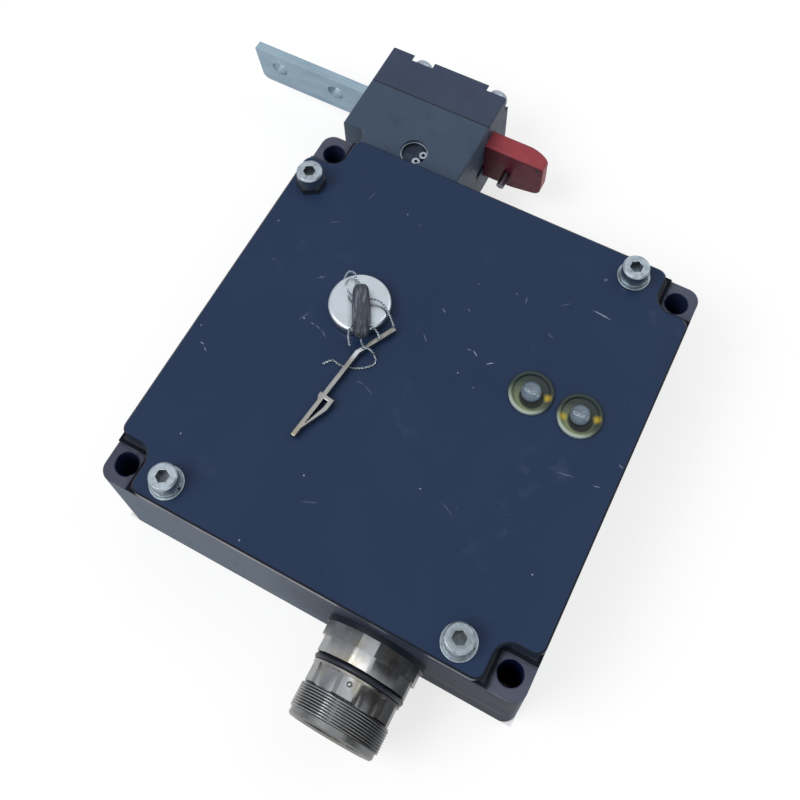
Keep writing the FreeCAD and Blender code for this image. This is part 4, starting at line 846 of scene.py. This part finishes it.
class SWITCH_OT_finishes(bpy.types.Operator):
    """Give every CAD node its enamelled, plated, cast or moulded finish"""
    bl_idname = "switch.finishes"
    bl_label = "Finish the Nodes"

    def execute(self, context):
        look = context.scene.switch_settings
        # The corroded screw's head, a painted highlight on the key's bend, and the key's yellowed
        # end.
        low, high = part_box("cover_screws")
        corroded = (high[0] - 3.5 * MM, low[1] + 3.5 * MM, high[2])
        low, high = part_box("release_key")
        bend = (low[0] + 3.4 * MM, low[1] + 26.3 * MM, high[2])
        tail = (low[0], low[1], high[2])
        table = {
            cover_enamel(look): ["cover_plate"],
            cast_coat("rubbed coat on case casting", look.case_colour, look.wall_painted_light_colour):
                ["base_housing"],
            head_coat("slate coat on head casting", look.head_colour): ["head_body"],
            head_coat("violet coat on cap casting", look.cap_colour): ["head_cap"],
            rubber(look): ["cover_gasket", "connector_gasket", "connector_o_ring"],
            plated("zinc on socket screws", look.steel_colour, "#5B666E", 0.7, 0.28, 1.3,
                   spots=[(corroded, 1.5, 3.8, 0.6, "#4E5250")]):
                ["cover_screws", "cover_washers", "cover_spring_washers"],
            plated("zinc on small steel parts", "#A3AEB9", "#66707A", 0.5, 0.34, 2.5, recess_shade_share=0.3):
                ["head_screws", "retaining_ring", "nose_rivet", "seal_wire", "locking_plunger",
                 "solenoid_frame", "rocker_lever", "release_cam", "connector_nut"],
            plated("oiled steel pin", "#85828C", "#4A4650", 0.6, 0.28, 2.0, turned=0.4):
                ["cross_pin"],
            moulded("dark collar plastic", "#121824", "#232C38"): ["screw_collar"],
            tongue_zinc(look): ["tongue_bar"],
            nose_enamel(look): ["tongue_nose"],
            shell_nickel(look): ["connector_shell", "connector_flange"],
            plated("bright nickel knob", look.nickel_colour, "#AEB4B4", 0.5, 0.2, 6.0,
                   turned=1.0):
                ["release_knob"],
            # A painted highlight on the key's bend.
            plated("worn nickel key", look.key_colour, "#655F55", 0.6, 0.24, 2.5,
                   stretch=(1, 0.3, 1), turned=0.35,
                   spots=[(bend, 0.8, 3.2, 0.8, "#D8DEE4"), (tail, 1.0, 7.0, 0.5, "#A89C80")]):
                ["release_key"],
            pressed_lead(look): ["lead_seal"],
            window_resin(look, "window_left", [(4.1, 0.4)]): ["window_left"],
            window_resin(look, "window_right", [(-3.6, -2.0), (4.0, 0.9)]): ["window_right"],
            lamp_epoxy(look): ["led_left", "led_right"],
            plated("turned brass", "#A9843A", "#6E5524", 0.5, 0.3):
                ["connector_pins", "plunger_bushing", "tappet_left", "tappet_right"],
            moulded("black moulding", "#17181B", "#25272C"):
                ["connector_insert", "solenoid_coil", "switch_block_left", "switch_block_right",
                 "plunger_yoke"],
            moulded("green lacquered board", "#1E4030", "#2B5742"): ["led_board"],
            plated("blackened pivot steel", "#39414E", "#1C2029", 0.6, 0.35, 3.0):
                ["pivot_shaft"],
        }
        missing = set(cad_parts) - {node for nodes in table.values() for node in nodes}
        if missing:
            raise RuntimeError("nodes without a finish: %s" % sorted(missing))
        for material, nodes in table.items():
            for node in nodes:
                dress(node, material)
        return {"FINISHED"}


# The floor reaches this many metres from the middle. A ray from the eye gets that share of
# its white from a glow of that strength, and the rest from the lights, which keeps the shadow.
FLOOR_REACH = 6.0
FLOOR_GLOW_SHARE = 0.66
FLOOR_GLOW = 1.1
# Two cards in the room, which metal and enamel show: the direction of each, the cosines from
# that direction at which it starts and is full, and how grey it is.
CARDS = [((0.8, 0.22, 0.56), 0.87, 0.95, 0.05), ((-0.87, 0.27, 0.41), 0.9, 0.97, 0.5)]
# The lights: place and width in metres, and power in watts.
LIGHTS = {"key": ((-0.5, -0.6, 1.15), 0.7, 8.5), "fill": ((0.7, 0.55, 1.0), 0.9, 3.0)}
# The camera: its place in millimetres and its turns about X, Y and Z in degrees.
CAMERA_PLACE = (52.21, -92.02, 295.29)
CAMERA_TURNS = (30.35, 1.002, 27.786)


class SWITCH_OT_stage(bpy.types.Operator):
    """Place the white floor, the level light and the camera"""
    bl_idname = "switch.stage"
    bl_label = "Set the Stage"

    def execute(self, context):
        self.floor(context)
        self.room(context)
        self.lights(context)
        self.camera(context)
        return {"FINISHED"}

    def floor(self, context):
        """A white floor that keeps the switch's shadow and stays dark under the case."""
        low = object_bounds()[0][2]
        mesh = bpy.data.meshes.new("floor")
        mesh.from_pydata([(x * FLOOR_REACH, y * FLOOR_REACH, low)
                          for x, y in ((-1, -1), (1, -1), (1, 1), (-1, 1))], [], [(0, 1, 2, 3)])
        floor = bpy.data.objects.new("floor", mesh)
        context.scene.collection.objects.link(floor)
        f = Finish("white paper")
        f.end(Base_Color=linear(context.scene.switch_settings.floor_colour), Roughness=1.0,
              Specular_IOR_Level=0.0)
        offset = f.add("ShaderNodeVectorMath", {0: f.place}, operation="ABSOLUTE")
        sides = f.add("ShaderNodeSeparateXYZ", {0: offset}).node.outputs
        far = f.add("ShaderNodeMath", {0: sides["X"], 1: sides["Y"]}, operation="MAXIMUM")
        half_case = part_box("base_housing")[1][0]
        outside = f.add("ShaderNodeMath", {0: far, 1: half_case}, operation="GREATER_THAN")
        share = f.add("ShaderNodeMath", {0: self.seen(f), 1: FLOOR_GLOW_SHARE},
                      operation="MULTIPLY")
        share = f.add("ShaderNodeMath", {0: share, 1: outside}, operation="MULTIPLY")
        glow = f.add("ShaderNodeEmission", {"Color": (1, 1, 1, 1), "Strength": FLOOR_GLOW})
        blend = f.add("ShaderNodeMixShader", {0: share, 1: f.shader.outputs[0], 2: glow})
        f.wire(f.tree.nodes["Material Output"], {0: blend})
        mesh.materials.append(f.material)
        floor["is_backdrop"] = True

    def seen(self, nodes):
        """1 for a ray from the eye, or one that metal or glass sends on."""
        rays = nodes.add("ShaderNodeLightPath").node.outputs
        total = rays["Is Camera Ray"]
        for kind in ("Is Glossy Ray", "Is Transmission Ray"):
            total = nodes.add("ShaderNodeMath", {0: total, 1: rays[kind]}, operation="ADD",
                              use_clamp=True)
        return total

    def room(self, context):
        """An even white room with grey cards at its sides. It shows at full strength, and
        lights the switch at half."""
        world = bpy.data.worlds.new("white room")
        world.use_nodes = True
        nodes = Nodes(world.node_tree)
        ray = nodes.add("ShaderNodeTexCoord", out="Generated")
        shade = (0.97, 0.985, 1, 1)
        for direction, outer, inner, grey in CARDS:
            agree = nodes.add("ShaderNodeVectorMath", {0: ray, 1: Vector(direction).normalized()},
                              out="Value", operation="DOT_PRODUCT")
            card = nodes.add("ShaderNodeMapRange", {"Value": agree, "From Min": outer,
                                                    "From Max": inner},
                             interpolation_type="SMOOTHSTEP")
            shade = nodes.add("ShaderNodeMix", {0: card, 6: shade,
                                                7: (grey, grey, grey * 1.1, 1)},
                              out=2, data_type="RGBA")
        strength = nodes.add("ShaderNodeMapRange", {"Value": self.seen(nodes), "To Min": 0.5,
                                                    "To Max": 1.0})
        nodes.wire(world.node_tree.nodes["Background"], {"Color": shade, "Strength": strength})
        context.scene.world = world

    def lights(self, context):
        """Two broad soft lights, the stronger one from the connector's side."""
        for name, (place, width, power) in LIGHTS.items():
            light = bpy.data.lights.new(name, "AREA")
            light.size = width
            light.energy = power
            stand = bpy.data.objects.new(name, light)
            stand.location = place
            stand.rotation_euler = (-Vector(place)).to_track_quat("-Z", "Y").to_euler()
            context.scene.collection.objects.link(stand)

    def camera(self, context):
        """A camera above the connector's corner, its frame shifted below the optical axis."""
        lens = bpy.data.cameras.new("camera")
        lens.lens = 50.0
        lens.sensor_width = 36.0
        lens.shift_x = -0.0077
        lens.shift_y = -0.2245
        viewer = bpy.data.objects.new("camera", lens)
        viewer.location = Vector(CAMERA_PLACE) * MM
        viewer.rotation_euler = [math.radians(angle) for angle in CAMERA_TURNS]
        context.scene.collection.objects.link(viewer)
        context.scene.camera = viewer
        context.scene.view_settings.view_transform = "Standard"


class SWITCH_PT_panel(bpy.types.Panel):
    """Settings and buttons of the switch's looks"""
    bl_idname = "SWITCH_PT_panel"
    bl_label = "Interlock Switch"
    bl_space_type = "VIEW_3D"
    bl_region_type = "UI"
    bl_category = "Switch"

    def draw(self, context):
        column = self.layout.column()
        for name in SwitchSettings.__annotations__:
            column.prop(context.scene.switch_settings, name)
        for operator in OPERATORS:
            column.operator(operator.bl_idname)


OPERATORS = (SWITCH_OT_finishes, SWITCH_OT_connector, SWITCH_OT_seal, SWITCH_OT_lamps,
             SWITCH_OT_stage)
CLASSES = (SwitchSettings,) + OPERATORS + (SWITCH_PT_panel,)


def register():
    for made in CLASSES:
        bpy.utils.register_class(made)
    bpy.types.Scene.switch_settings = bpy.props.PointerProperty(type=SwitchSettings)


def unregister():
    del bpy.types.Scene.switch_settings
    for made in reversed(CLASSES):
        bpy.utils.unregister_class(made)


def main():
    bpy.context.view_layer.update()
    register()
    bpy.ops.switch.finishes()
    bpy.ops.switch.connector()
    bpy.ops.switch.seal()
    bpy.ops.switch.lamps()
    bpy.ops.switch.stage()


if __name__ == "__main__":
    main()
